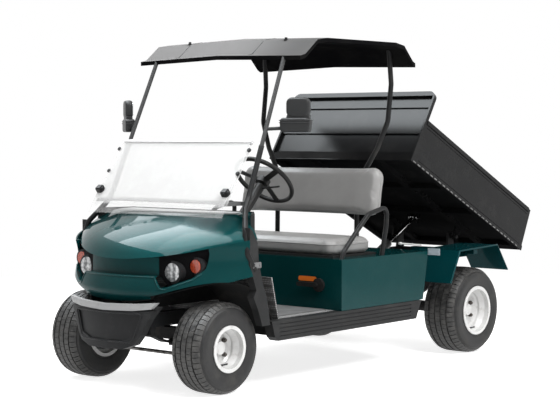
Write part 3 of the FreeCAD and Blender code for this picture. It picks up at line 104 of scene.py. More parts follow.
class Finish(Nodes):
    """One material: its shader, and the nodes that vary it over the surface."""

    def __init__(self, name, colour, roughness, fixed=None):
        self.material = bpy.data.materials.new(name)
        self.material.use_nodes = True
        super().__init__(self.material.node_tree)
        self.shader = self.tree.nodes["Principled BSDF"]
        self.shader.inputs["Base Color"].default_value = (*colour, 1.0)
        self.shader.inputs["Roughness"].default_value = roughness
        for socket, value in (fixed or {}).items():
            self.shader.inputs[socket].default_value = value

    def feed(self, socket, flow):
        self.tree.links.new(flow.socket, self.shader.inputs[socket])

    def look(self, colour, roughness):
        self.feed("Base Color", colour)
        self.feed("Roughness", roughness)

    def place(self):
        return self.node("ShaderNodeTexCoord", out="Object")

    def reach(self, axis):
        """The place along one axis, in metres: 0 is X, 1 is Y and 2 is Z."""
        return self.node("ShaderNodeSeparateXYZ", {}, {0: self.place()}, axis)

    def facing_up(self):
        """1 where the surface faces straight up, -1 where it faces straight down."""
        normal = self.node("ShaderNodeNewGeometry", out=1)
        return self.node("ShaderNodeSeparateXYZ", {}, {0: normal}, 2)

    def cloud(self, scale, detail=3.0, rough=0.55):
        sockets = {"Vector": self.place(), "Scale": scale, "Detail": detail, "Roughness": rough}
        return self.node("ShaderNodeTexNoise", {}, sockets)

    def cells(self, scale, feature="F1", out="Distance"):
        sockets = {"Vector": self.place(), "Scale": scale}
        return self.node("ShaderNodeTexVoronoi", {"feature": feature}, sockets, out)

    def step(self, value, low, high):
        """0 below low, 1 above high, even between them."""
        sockets = {0: value, 1: low, 2: high}
        return self.node("ShaderNodeMapRange", {"interpolation_type": "SMOOTHSTEP"}, sockets)

    def patches(self, scale, low, high, detail=4.0, rough=0.55):
        """1 inside cloudy patches, 0 outside them."""
        return self.step(self.cloud(scale, detail, rough), low, high)

    def tones(self, share, first, second):
        """A colour that runs from first to second as share goes from 0 to 1."""
        mix = {0: share}
        for socket, tone in ((6, first), (7, second)):
            mix[socket] = tone if isinstance(tone, Flow) else (*tone, 1.0)
        return self.node("ShaderNodeMix", {"data_type": "RGBA"}, mix, 2)

    def relief(self, height, depth, strength=1.0):
        """Surface relief of a depth in metres."""
        sockets = {"Height": height, "Distance": depth, "Strength": strength}
        self.feed("Normal", self.node("ShaderNodeBump", {}, sockets))

    def grain(self, scale, depth, strength, detail=2.0):
        """A fine cloudy relief."""
        self.relief(self.cloud(scale, detail), depth, strength)


def satin_paint(name, colour, dust, roughness=0.42):
    """Sprayed or powder-coated steel: orange peel, dull dusty patches, a few fine scuffs."""
    paint = Finish(name, colour, roughness, {"IOR": 1.35, "Specular IOR Level": 0.25})
    patch = paint.patches(7.0, 0.48, 0.78, 5.0, 0.62)
    scuff = paint.patches(95.0, 0.66, 0.72, 2.0, 0.7)
    paint.look(paint.tones(patch * 0.55 + scuff * 0.2, colour, dust),
               roughness + patch * 0.2 + scuff * 0.15)
    paint.grain(420.0, 0.00012, 0.5)
    return paint


def dress(finish, *nodes):
    """Give CAD nodes a finish; their shape stays as it is."""
    for node in nodes:
        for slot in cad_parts[node].material_slots:
            slot.material = finish.material


frame_paint = satin_paint("frame_satin_black", (0.013, 0.0135, 0.0145), (0.05, 0.047, 0.043))
dress(frame_paint, "frame", "cross_members")


# ================================================================ axles and steering gear
# Front beam with kingpins and leaf packs, rear axle with motor and springs, in
# dull chassis black; knuckles and tie rod are forged steel with an oily film.
axle_paint = satin_paint("axle_dull_black", (0.016, 0.016, 0.0165), (0.075, 0.068, 0.06), 0.6)
dress(axle_paint, "front_axle", "rear_axle")


def patchy(name, patch, clean, worn, gloss, grain=None, fixed=None, share=1.0):
    """A finish of one tone, and of another in cloudy patches; gloss is its roughness and their added one."""
    made = Finish(name, clean, gloss[0], fixed)
    inside = made.patches(*patch)
    made.look(made.tones(inside * share, clean, worn), gloss[0] + inside * gloss[1])
    if grain:
        made.grain(*grain)
    return made


forging = patchy("forged_steel", (22.0, 0.42, 0.66), (0.12, 0.115, 0.11), (0.035, 0.031, 0.028),
                 (0.32, 0.35), (260.0, 0.0002, 0.6, 3.0), {"Metallic": 0.75})
dress(forging, "left_knuckle", "right_knuckle", "tie_rod")


# ================================================================ tyres
# Pneumatic tyres: a smooth moulded carcass with rim rib, and five rows of
# rubber blocks parted by round grooves, staggered from row to row.
class Pattern(Nodes):
    """Geometry Nodes that lay copies of one mesh out by a rule and hand back a plain mesh."""

    def __init__(self, name, **inputs):
        super().__init__(bpy.data.node_groups.new(name, "GeometryNodeTree"))
        sockets = self.tree.interface
        sockets.new_socket("Geometry", in_out="INPUT", socket_type="NodeSocketGeometry")
        kinds = {int: "NodeSocketInt", float: "NodeSocketFloat", Vector: "NodeSocketVector"}
        self.values = {}
        for label, value in inputs.items():
            made = sockets.new_socket(label, in_out="INPUT", socket_type=kinds[type(value)])
            self.values[made.identifier] = list(value) if isinstance(value, Vector) else value
        sockets.new_socket("Geometry", in_out="OUTPUT", socket_type="NodeSocketGeometry")
        self.start = self.tree.nodes.new("NodeGroupInput")

    def given(self, label=0):
        """One of the pattern's inputs; the first is the mesh that it copies."""
        return Flow(self, self.start.outputs[label])

    def lay(self, name, unit, placed, finish):
        """Close the tree on placed copies and return the mesh it makes from unit."""
        solid = self.node("GeometryNodeRealizeInstances", {}, {0: placed})
        painted = self.node("GeometryNodeSetMaterial", {}, {0: solid, "Material": finish.material})
        self.tree.links.new(painted.socket, self.tree.nodes.new("NodeGroupOutput").inputs[0])
        maker = bpy.data.objects.new(name + "_maker", unit)
        bpy.context.scene.collection.objects.link(maker)
        modifier = maker.modifiers.new("pattern", "NODES")
        modifier.node_group = self.tree
        for socket, value in self.values.items():
            modifier[socket] = value
        return evaluated(maker)


def evaluated(maker):
    """The plain mesh that an object makes; the object itself goes."""
    bpy.context.view_layer.update()
    mesh = bpy.data.meshes.new_from_object(maker.evaluated_get(bpy.context.evaluated_depsgraph_get()))
    bpy.data.objects.remove(maker)
    return mesh


def ring_of(name, unit, count, centre, finish, first=0.0):
    """Copies of unit, drawn about the X axis, spaced evenly round an axle centre."""
    rule = Pattern(name, Count=count, Centre=centre, First=first)
    points = rule.node("GeometryNodePoints", {}, {"Count": rule.given("Count")})
    copies = rule.node("GeometryNodeInstanceOnPoints", {}, {"Points": points, "Instance": rule.given()})
    share = rule.math("DIVIDE", rule.node("GeometryNodeInputIndex"), rule.given("Count"))
    turn = rule.node("ShaderNodeMath", {"operation": "MULTIPLY_ADD"},
                     {0: share, 1: 2 * math.pi, 2: rule.given("First")})
    angles = rule.node("ShaderNodeCombineXYZ", {}, {"X": turn})
    spun = rule.node("GeometryNodeRotateInstances", {}, {"Instances": copies, "Rotation": angles})
    moved = rule.node("GeometryNodeTranslateInstances", {},
                      {"Instances": spun, "Translation": rule.given("Centre"), "Local Space": False})
    return rule.lay(name, unit, moved, finish)


def row_of(name, unit, count, stride, finish):
    """Copies of unit in a straight row, one stride apart, the first one where unit is."""
    rule = Pattern(name, Count=count, Stride=stride)
    spot = rule.node("ShaderNodeVectorMath", {"operation": "SCALE"},
                     {0: rule.given("Stride"), "Scale": rule.node("GeometryNodeInputIndex")})
    points = rule.node("GeometryNodePoints", {}, {"Count": rule.given("Count"), "Position": spot})
    copies = rule.node("GeometryNodeInstanceOnPoints", {}, {"Points": points, "Instance": rule.given()})
    return rule.lay(name, unit, copies, finish)


def settle(name, mesh, finish, body, crease=34, stands_for=()):
    """A mesh, or a bmesh, becomes a piece that rides on its body and may stand for CAD nodes."""
    if isinstance(mesh, bmesh.types.BMesh):
        mesh = shaped(name, mesh)
    mesh.name = name
    if not mesh.materials:
        mesh.materials.append(finish.material)
    mesh.shade_smooth()
    mesh.set_sharp_from_angle(angle=math.radians(crease))
    piece = bpy.data.objects.new(name, mesh)
    bpy.context.scene.collection.objects.link(piece)
    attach(piece, body)
    if stands_for:
        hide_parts(*stands_for)
    return piece


def shaped(name, shape):
    """Close off a bmesh: normals outwards, and a mesh handed back."""
    bmesh.ops.recalc_face_normals(shape, faces=shape.faces)
    mesh = bpy.data.meshes.new(name)
    shape.to_mesh(mesh)
    shape.free()
    return mesh


def turned(shape, outline, centre=(0, 0, 0), along=(1, 0, 0), around=32, closed=False):
    """Add a solid of revolution: outline is (distance along the axis, radius) from end to end."""
    square = Vector(along).normalized().to_track_quat("X", "Z").to_matrix()
    rings = []
    for reach, radius in outline:
        ring = []
        for k in range(around):
            turn = 2 * math.pi * k / around
            local = Vector((reach, radius * math.cos(turn), radius * math.sin(turn)))
            ring.append(shape.verts.new(Vector(centre) + square @ local))
        rings.append(ring)
    pairs = list(zip(rings, rings[1:])) + ([(rings[-1], rings[0])] if closed else [])
    for near, far in pairs:
        for k in range(around):
            after = (k + 1) % around
            shape.faces.new((near[k], near[after], far[after], far[k]))
    if not closed:
        shape.faces.new(list(reversed(rings[0])))
        shape.faces.new(rings[-1])


SIDES = (("left", 1), ("right", -1))
TREAD_DEPTH = 0.006
BLOCK_FOOT = 0.003    # how far a block's foot lies under the groove floor
FOOT_SPREAD = 0.0011  # how much wider a block is at its foot
BLOCK_BEVEL = 0.0007
CROWN_BOW = 0.0012
SHOULDER_START = 0.58
SHOULDER_DROP = 0.034
TREAD_PITCHES = {"front": 50, "rear": 54}
# Row edges as shares of the tyre's half width, how far its blocks are staggered, and
# the share of a pitch that a block fills.
TREAD_ROWS = ((-0.87, -0.55, 0.5, 0.84), (-0.47, -0.20, 0.0, 0.92), (-0.13, 0.13, 0.5, 0.94),
              (0.20, 0.47, 0.0, 0.92), (0.55, 0.87, 0.5, 0.84))


def crown_radius(share, radius):
    """Outer radius of the tread at a share of the half width."""
    beyond = max(0.0, abs(share) - SHOULDER_START) / (1 - SHOULDER_START)
    return radius - CROWN_BOW * (share / 0.5) ** 2 - SHOULDER_DROP * beyond ** 2.1


def tread_pitch(half, radius, pitch):
    """One pitch of tread at the top of a tyre whose axle is the X axis."""
    unit = bmesh.new()
    for start, end, shift, fill in TREAD_ROWS:
        stations = (start, (start + end) / 2, end) if abs(start + end) > 0.5 else (start, end)
        middle = pitch * (shift - 0.25)
        reach = pitch * fill / 2
        top, foot = [], []
        for share in stations:
            edge = -1 if share == stations[0] else 1 if share == stations[-1] else 0
            height = crown_radius(share, radius)
            for grid, drop, spread in ((top, 0.0, 0.0), (foot, TREAD_DEPTH + BLOCK_FOOT, FOOT_SPREAD)):
                x = share * half + edge * spread * (0.6 if abs(share) < 0.8 else -1.0)
                r = height - drop
                line = []
                for along in (-1, 1):
                    lean = (middle + along * (reach + spread * 0.7)) / r
                    line.append(unit.verts.new((x, r * math.sin(lean), r * math.cos(lean))))
                grid.append(line)
        for k in range(len(stations) - 1):
            unit.faces.new((top[k][0], top[k + 1][0], top[k + 1][1], top[k][1]))
            unit.faces.new((foot[k][0], foot[k + 1][0], top[k + 1][0], top[k][0]))
            unit.faces.new((foot[k][1], top[k][1], top[k + 1][1], foot[k + 1][1]))
        unit.faces.new((foot[0][0], top[0][0], top[0][1], foot[0][1]))
        unit.faces.new((foot[-1][0], foot[-1][1], top[-1][1], top[-1][0]))
        for k in range(len(stations) - 1):
            unit.faces.new((foot[k][0], foot[k][1], foot[k + 1][1], foot[k + 1][0]))
    rims = [edge for edge in unit.edges if all(vert.co.length > radius * 0.5 for vert in edge.verts)
            and edge.calc_face_angle(0.0) > math.radians(50)]
    bmesh.ops.bevel(unit, geom=rims, offset=BLOCK_BEVEL, segments=1, affect="EDGES")
    return shaped("tread_pitch", unit)


def carcass(half, radius, flange):
    """The tyre without its tread blocks, about the X axis: beads, sidewalls and groove floor."""
    rise = radius - flange
    bead = [(0.80, -0.0137), (0.905, -0.004), (0.930, 0.004), (0.926, 0.009), (0.945, 0.012)]
    wall = [(0.950, 0.20), (0.982, 0.36), (0.999, 0.50), (0.994, 0.62), (0.965, 0.72)]
    side = [(share, flange + out) for share, out in bead]
    side += [(share, flange + rise * part) for share, part in wall]
    floor = [(share, crown_radius(share, radius) - TREAD_DEPTH)
             for share in (0.86, 0.74, 0.6, 0.5, 0.3, 0.1)]
    line = side + floor
    outline = [(share * half, r) for share, r in line]
    outline += [(-share * half, r) for share, r in reversed(line)]
    body = bmesh.new()
    turned(body, outline, around=144, closed=True)
    return body


rubber = patchy("tyre_rubber", (16.0, 0.42, 0.75, 6.0, 0.6), (0.013, 0.013, 0.0135), (0.04, 0.039, 0.037),
                (0.55, 0.25), (900.0, 0.0002, 0.5), {"Specular IOR Level": 0.3})
# The blocks are worn smooth and dusty, lighter than the grooves between them.
tread_rubber = patchy("tyre_tread_rubber", (30.0, 0.36, 0.7, 6.0, 0.65), (0.022, 0.022, 0.022),
                      (0.072, 0.070, 0.067), (0.42, 0.25), (700.0, 0.0003, 0.5),
                      {"Specular IOR Level": 0.35})
for axle in ("front", "rear"):
    for hand in ("left", "right"):
        name = axle + "_" + hand + "_tyre"
        low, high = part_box(name)
        rim_low, rim_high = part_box(axle + "_" + hand + "_rim")
        centre = (low + high) / 2
        radius = (high.z - low.z) / 2
        half = (high.x - low.x) / 2
        pitches = TREAD_PITCHES[axle]
        unit = tread_pitch(half, radius, 2 * math.pi * radius / pitches)
        blocks = ring_of(name + "_tread", unit, pitches, centre, tread_rubber)
        cover = carcass(half, radius, (rim_high.z - rim_low.z) / 2)
        bmesh.ops.recalc_face_normals(cover, faces=cover.faces)
        bmesh.ops.translate(cover, verts=cover.verts, vec=centre)
        smooth_faces = len(cover.faces)
        cover.from_mesh(blocks)
        cover.faces.ensure_lookup_table()
        for face in cover.faces[smooth_faces:]:
            face.material_index = 1
        mesh = bpy.data.meshes.new(name + "_cover")
        cover.to_mesh(mesh)
        cover.free()
        mesh.materials.append(rubber.material)
        mesh.materials.append(tread_rubber.material)
        settle(name + "_cover", mesh, rubber, axle + "_" + hand + "_wheel", 38, [name])


# ================================================================ wheels
# Pressed steel wheels with a deep dish, enamelled silver-white and dulled by
# brake dust in patches; each has four nuts and a rubber valve with a cap.
enamel = patchy("wheel_enamel", (30.0, 0.46, 0.8, 5.0, 0.65), (0.60, 0.60, 0.595), (0.36, 0.35, 0.335),
                (0.26, 0.3), (180.0, 0.0002, 0.35), {"Coat Weight": 0.4, "Coat Roughness": 0.12}, 0.8)
nut_steel = patchy("wheel_nut_steel", (120.0, 0.4, 0.7), (0.1, 0.095, 0.09), (0.045, 0.028, 0.018),
                   (0.4, 0.35), None, {"Metallic": 0.7})
valve_rubber = Finish("valve_rubber", (0.02, 0.02, 0.02), 0.6)
valve_rubber.feed("Roughness", 0.5 + valve_rubber.cloud(90.0) * 0.2)
valve_rubber.grain(800.0, 0.0002, 0.5)
NUTS = 4
NUT_R = 0.0125
NUT_H = 0.016
STUD_CIRCLE_R = 0.0508
DISH_BACK = 0.082   # from the tyre's side in to the face that the nuts sit on
VALVE_BACK = 0.046  # and to the valve's foot
VALVE_IN = 0.034    # from the rim's edge in to the valve's foot
VALVE_TURN = math.radians(262)
for axle in ("front", "rear"):
    for hand, out in SIDES:
        wheel = axle + "_" + hand
        dress(enamel, wheel + "_rim")
        low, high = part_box(wheel + "_tyre")
        middle = (low + high) / 2
        face = middle.x + out * ((high.x - low.x) / 2 - DISH_BACK)
        nut = bmesh.new()
        lying = Matrix.Translation((out * 0.006, 0, STUD_CIRCLE_R)) @ Matrix.Rotation(math.pi / 2, 4, "Y")
        bmesh.ops.create_cone(nut, cap_ends=True, segments=6, radius1=NUT_R, radius2=NUT_R, depth=NUT_H,
                              matrix=lying)
        dome = ((out * 0.013, 0.0095), (out * 0.020, 0.0075), (out * 0.0235, 0.003))
        turned(nut, dome, (0, 0, STUD_CIRCLE_R), around=14)
        nuts = ring_of(wheel + "_nuts", shaped("nut", nut), NUTS, Vector((face, middle.y, middle.z)),
                       nut_steel, math.radians(45))
        settle(wheel + "_nuts", nuts, nut_steel, wheel + "_wheel", 30)
        rim_low, rim_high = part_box(wheel + "_rim")
        foot_r = (rim_high.z - rim_low.z) / 2 - VALVE_IN
        foot = middle + Vector((out * ((high.x - low.x) / 2 - VALVE_BACK),
                                foot_r * math.cos(VALVE_TURN), foot_r * math.sin(VALVE_TURN)))
        stem = bmesh.new()
        turned(stem, ((-0.006, 0.0055), (0.0, 0.0058), (0.010, 0.0042), (0.022, 0.0038), (0.0225, 0.0048),
                      (0.033, 0.0046), (0.035, 0.003)), foot, (out, 0.1, 0.3), 14)
        settle(wheel + "_valve", stem, valve_rubber, wheel + "_wheel")


# ================================================================ rockers and floor
# Ribbed black plastic sills under the doorways, a floor tray with a speckled
# grey rubber mat glued to it, and the plain battery case under the seat.
def grained_plastic(name, colour, worn, roughness=0.5, grain=520.0):
    """Moulded plastic with a leathery grain, worn in patches and in a few streaks."""
    plastic = Finish(name, colour, roughness, {"IOR": 1.35, "Specular IOR Level": 0.25})
    patch = plastic.patches(5.0, 0.45, 0.8, 5.0, 0.6)
    streak = plastic.patches(60.0, 0.62, 0.74, 3.0, 0.6)
    grain_height = plastic.cells(grain, "SMOOTH_F1")
    plastic.look(plastic.tones(patch * 0.6 + streak * 0.25, colour, worn),
                 roughness - 0.06 + patch * 0.2 + grain_height * 0.12)
    plastic.relief(grain_height, 0.00025, 0.5)
    return plastic


sill_plastic = grained_plastic("sill_black_plastic", (0.012, 0.0125, 0.013), (0.05, 0.049, 0.047), 0.42)
dress(sill_plastic, "rockers")

mat = Finish("floor_mat_rubber", (0.10, 0.10, 0.10), 0.7)
stud = mat.node("ShaderNodeTexVoronoi", {"feature": "F1", "distance": "CHEBYCHEV"},
                {"Vector": mat.place(), "Scale": 95.0, "Randomness": 0.0})
fleck = mat.step(stud, 0.24, 0.36)
worn = mat.patches(9.0, 0.4, 0.7)
mat.look(mat.tones(fleck * 0.85 + worn * 0.15, (0.34, 0.34, 0.34), (0.07, 0.07, 0.07)),
         0.58 + worn * 0.15)
mat.relief(1 - fleck, 0.0012, 0.8)
dress(mat, "floor_pan")

case_plastic = grained_plastic("battery_case_plastic", (0.03, 0.03, 0.032), (0.08, 0.078, 0.075), 0.5)
dress(case_plastic, "battery_pack")


# ================================================================ places on the cart
# Places below are in the cart's own millimetres, counted back from the front
# axle, and found on its faces where a piece lies on one.
FRONT_AXLE_Y = sum(corner.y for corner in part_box("front_left_tyre")) / 2


def at(x, y, z):
    """A point given in the cart's own millimetres, front axle at y 0, as a place in metres."""
    return Vector((x / 1000, FRONT_AXLE_Y + y / 1000, z / 1000))


def struck(node, start, way):
    """The place where a line from start first meets a CAD node."""
    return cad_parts[node].ray_cast(Vector(start), Vector(way))[1]


# ================================================================ body panels
# Hood and cowl are moulded in one colour: a deep blue-green metallic under
# clear lacquer, with fine flake, faint orange peel and light dust in patches.
def flaked(name, dark, light, fixed):
    """Metallic paint under lacquer: the finish, its flake and its colour."""
    paint = Finish(name, light, 0.34, {"Specular IOR Level": 0.0, **fixed})
    flake = paint.node("ShaderNodeSeparateColor", {}, {0: paint.cells(1900.0, out="Color")})
    return paint, flake, paint.tones(flake * 0.7, dark, light)


def body_green(name, fixed):
    """The body's own green: the finish, its flake, its dust and its colour."""
    gloss = {"Metallic": 0.2, "Coat Roughness": 0.015, "Coat IOR": 1.18, **fixed}
    paint, flake, deep = flaked(name, (0.0006, 0.024, 0.026), (0.0025, 0.060, 0.060), gloss)
    haze = paint.patches(6.0, 0.5, 0.8, 4.0, 0.6)
    paint.relief(paint.cloud(34.0, 2.0, 0.4), 0.0012, 0.06)
    return paint, flake, haze, paint.tones(haze * 0.08, deep, (0.05, 0.10, 0.10))


lacquer, flake, haze, green = body_green("body_metallic_green", {"Coat Weight": 1.0})
lacquer.look(green, 0.28 + flake * 0.16 + haze * 0.08)
dress(lacquer, "hood")

# The cowl is the same paint, with black inserts let into the recess round each pair of lamps.
cowl_paint, flake, haze, green = body_green("cowl_green_black_insert", {})
NOSE_ARC_CENTRE_Y = at(0, 420, 0).y
NOSE_RECESS_R = 0.672
INSERTS_FROM_X = 0.236
from_arc = cowl_paint.reach(0) ** 2 + (cowl_paint.reach(1) - NOSE_ARC_CENTRE_Y) ** 2
insert = (from_arc < NOSE_RECESS_R ** 2) * (cowl_paint.reach(0) ** 2 > INSERTS_FROM_X ** 2)
cowl_paint.look(cowl_paint.tones(insert, green, (0.006, 0.006, 0.0065)),
                0.28 + flake * 0.16 + insert * 0.15)
cowl_paint.feed("Coat Weight", 1 - insert)
dress(cowl_paint, "cowl")


# ================================================================ bumper and lamps
# Black textured bumper with a grey insert strip, round headlamps and amber
# signals behind clear lenses, each in a black ring, and a rolled lip below them.
bumper_plastic = grained_plastic("bumper_black_plastic", (0.012, 0.0125, 0.0135),
                                 (0.045, 0.045, 0.045), 0.46)
dress(bumper_plastic, "bumper", "lamp_bezels")
strip_vinyl = patchy("bumper_strip_grey", (26.0, 0.5, 0.76, 4.0, 0.65), (0.34, 0.345, 0.35),
                     (0.2, 0.2, 0.2), (0.36, 0.25), (500.0, 0.00015, 0.4), None, 0.6)
dress(strip_vinyl, "bumper_strip")


def laid_on(node, across, up):
    """The place on a node's front face at a given distance across and height."""
    return struck(node, (across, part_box(node)[0].y - 0.5, up), (0, 1, 0))


def bead_line(node, corners, bend):
    """A closed line of points on a node's front face through rounded corners (across, up)."""
    line = []
    count = len(corners)
    for k in range(count):
        before, corner, after = (Vector(corners[(k + step) % count]) for step in (-1, 0, 1))
        back = (before - corner).normalized() * bend
        way = (after - corner).normalized()
        for step in range(6):
            share = step / 5
            line.append(corner + back * (1 - share) ** 2 + way * bend * share ** 2)
        gap = (after - corner).length - 2 * bend
        line += [corner + way * (bend + gap * step / 8) for step in range(1, 8)]
    return [laid_on(node, point.x, point.y) for point in line]


def piping(name, points, radius, finish, body, closed=True):
    """A round bead along a line."""
    curve = bpy.data.curves.new(name, "CURVE")
    curve.dimensions = "3D"
    spline = curve.splines.new("POLY")
    spline.points.add(len(points) - 1)
    for spot, point in zip(spline.points, points):
        spot.co = (*point, 1.0)
    spline.use_cyclic_u = closed
    curve.bevel_depth = radius
    curve.bevel_resolution = 2
    curve.use_fill_caps = not closed
    maker = bpy.data.objects.new(name + "_maker", curve)
    bpy.context.scene.collection.objects.link(maker)
    mesh = evaluated(maker)
    mesh.materials.clear()
    return settle(name, mesh, finish, body, 60)


# A raised frame runs round the pressed panel in the middle of the bumper.
FRAME_CORNERS = ((-0.232, 0.405), (-0.178, 0.262), (0.178, 0.262), (0.232, 0.405))
bpy.context.view_layer.update()
frame_line = bead_line("bumper", FRAME_CORNERS, 0.022)
piping("bumper_frame", frame_line, 0.0045, bumper_plastic, "chassis")

# A rolled lip under the lamp band drops round each pair of lamps.
LIP_LINE = ((0.0, 0.580), (0.243, 0.580), (0.276, 0.525), (0.304, 0.522), (0.416, 0.571), (0.452, 0.606))
half_lip = []
for (x0, z0), (x1, z1) in zip(LIP_LINE, LIP_LINE[1:]):
    count = max(3, int(math.hypot(x1 - x0, z1 - z0) / 0.009))
    half_lip += [(x0 + (x1 - x0) * k / count, z0 + (z1 - z0) * k / count) for k in range(count)]
whole_lip = [(-x, z) for x, z in reversed(half_lip[1:])] + half_lip
lip_line = [laid_on("cowl", x, z) for x, z in whole_lip]
piping("cowl_lip", lip_line, 0.0038, lacquer, "chassis", False)


def lens(name, low_tone, high_tone, cut, depth, roughness, fixed=None):
    """Moulded lens: a field of small facets over a bright bowl, in a clear outer skin."""
    glass = Finish(name, high_tone, roughness,
                   {"Coat Weight": 1.0, "Coat Roughness": 0.02, **(fixed or {})})
    facet = glass.cells(cut)
    band = glass.node("ShaderNodeTexWave", {"wave_type": "BANDS", "bands_direction": "X"},
                      {"Vector": glass.place(), "Scale": cut * 0.12, "Distortion": 1.2}, 1)
    glass.look(glass.tones(facet * 0.9 + band * 0.45, high_tone, low_tone), roughness + facet * 0.12)
    glass.relief(facet, depth, 0.8)
    return glass


lamp_clear = lens("headlamp_faceted", (0.10, 0.105, 0.11), (0.84, 0.85, 0.86), 62.0, 0.0030, 0.07,
                  {"Metallic": 0.3})
dress(lamp_clear, "headlamps")
lamp_amber = lens("signal_amber", (0.30, 0.03, 0.008), (0.60, 0.075, 0.018), 140.0, 0.0015, 0.12)
dress(lamp_amber, "turn_signals")


# ================================================================ dash, column and pedals
# Moulded dash with a dark grain, the side pillars of the body shell, a padded
# steering wheel on its column, two rubber-faced pedals and the drive switch.
dash_plastic = grained_plastic("dash_black_plastic", (0.014, 0.0145, 0.015), (0.05, 0.05, 0.05), 0.5)
dress(dash_plastic, "dashboard", "side_pillars")


def soft_box(size, soften, centre, lean=0.0):
    """A box with softened edges, leant about the X axis, as a bmesh."""
    box = bmesh.new()
    bmesh.ops.create_cube(box, size=1.0)
    bmesh.ops.scale(box, vec=size, verts=box.verts)
    if soften:
        bmesh.ops.bevel(box, geom=box.edges[:], offset=soften, segments=2, affect="EDGES")
    bmesh.ops.rotate(box, matrix=Matrix.Rotation(lean, 3, "X"), verts=box.verts)
    bmesh.ops.translate(box, vec=centre, verts=box.verts)
    return box


# A pale clamp with two bolts holds each roof strut's foot to its pillar.
clamp_zinc = satin_paint("pillar_clamp_zinc", (0.17, 0.172, 0.175), (0.10, 0.098, 0.095), 0.35)
CLAMP_Y, CLAMP_Z = 128.0, 636.0
for hand, out in SIDES:
    clamp = soft_box((0.008, 0.062, 0.030), 0.003, at(out * 601.0, CLAMP_Y, CLAMP_Z))
    for back in (-17.0, 17.0):
        bolt = ((0.0, 0.0075), (0.005, 0.007), (0.007, 0.004))
        turned(clamp, bolt, at(out * 604.0, CLAMP_Y + back, CLAMP_Z), (out, 0, 0), 6)
    settle("pillar_clamp_" + hand, clamp, clamp_zinc, "chassis", 30)

# The steering wheel, the pedals and the column are moulded with a finer grain.
grip = grained_plastic("steering_grip_black", (0.012, 0.012, 0.012), (0.04, 0.039, 0.037), 0.4, 900.0)
dress(grip, "steering_wheel", "driver_controls")


def rounded_rectangle(half_width, half_height, radius):
    """Points round a rectangle with round corners, seven to a corner."""
    points = []
    for cx, cy, first in ((1, 1, 0), (-1, 1, 90), (-1, -1, 180), (1, -1, 270)):
        for step in range(7):
            turn = math.radians(first + 15 * step)
            points.append((cx * (half_width - radius) + radius * math.cos(turn),
                           cy * (half_height - radius) + radius * math.sin(turn)))
    return points


# A rounded orange field, left blank, is painted round the direction switch.
LABEL_W, LABEL_H, LABEL_R = 0.124, 0.026, 0.0125
label_paint = patchy("switch_label_orange", (90.0, 0.55, 0.8, 4.0, 0.6), (0.76, 0.17, 0.012),
                     (0.42, 0.1, 0.02), (0.36, 0.2), None, None, 0.5)
label = bmesh.new()
label_middle = at(368, 809.4, 507)
outline = rounded_rectangle(LABEL_W / 2, LABEL_H / 2, LABEL_R)
front_ring, back_ring = ([label.verts.new(label_middle + Vector((x, depth, z))) for x, z in outline]
                         for depth in (-0.0008, 0.0012))
label.faces.new(front_ring)
label.faces.new(list(reversed(back_ring)))
for k in range(len(outline)):
    after = (k + 1) % len(outline)
    label.faces.new((front_ring[k], front_ring[after], back_ring[after], back_ring[k]))
settle("switch_label", label, label_paint, "chassis", 40)


# ================================================================ seat box and seat
# Painted steel seat box with a hinged lid. The lid carries a foam cushion in
# stitched grey vinyl; the backrest is bolted to the rear struts.
dress(lacquer, "seat_box")
base_plastic = grained_plastic("seat_base_black", (0.014, 0.014, 0.014), (0.04, 0.04, 0.04), 0.55)
dress(base_plastic, "seat_base")

vinyl = Finish("seat_grey_vinyl", (0.19, 0.19, 0.185), 0.42)
grain_cells = vinyl.cells(430.0, "SMOOTH_F1")
creases = vinyl.cloud(38.0, 5.0, 0.6)
polish = vinyl.patches(4.0, 0.4, 0.7, 3.0)
vinyl.look(vinyl.tones(polish * 0.5 + creases * 0.25, (0.27, 0.268, 0.265), (0.20, 0.198, 0.195)),
           0.36 + polish * 0.12 + grain_cells * 0.1)
vinyl.relief(grain_cells * 0.5 + creases * 0.9, 0.0011, 0.45)


COVER_VOXEL = 0.0068
FOAM_PRESSURE = 4.0
SWELL_FRAMES = 20


def bake_modifiers(piece):
    """Turn a piece with its modifiers into a plain mesh."""
    graph = bpy.context.evaluated_depsgraph_get()
    done = bpy.data.meshes.new_from_object(piece.evaluated_get(graph))
    piece.modifiers.clear()
    piece.data = done


def points_of(mesh):
    """A mesh's points, one to a row."""
    flat = np.empty(len(mesh.vertices) * 3)
    mesh.vertices.foreach_get("co", flat)
    return flat.reshape(-1, 3)


def swell(piece, cap):
    """Blow a cover up like foam under vinyl, with each point held within a cap."""
    remesh = piece.modifiers.new("even_mesh", "REMESH")
    remesh.mode = "VOXEL"
    remesh.voxel_size = COVER_VOXEL
    bake_modifiers(piece)
    start = points_of(piece.data)
    cloth = piece.modifiers.new("foam_pressure", "CLOTH")
    cloth.settings.use_pressure = True
    cloth.settings.uniform_pressure_force = FOAM_PRESSURE
    cloth.settings.effector_weights.gravity = 0.0
    cloth.point_cache.frame_start = 1
    cloth.point_cache.frame_end = SWELL_FRAMES
    for number in range(1, SWELL_FRAMES + 1):
        bpy.context.scene.frame_set(number)
    bake_modifiers(piece)
    bpy.context.scene.frame_set(1)
    shift = points_of(piece.data) - start
    length = np.maximum(np.linalg.norm(shift, axis=1, keepdims=True), 1e-9)
    held = shift * (np.minimum(length, cap) / length)
    piece.data.vertices.foreach_set("co", (start + held).ravel())


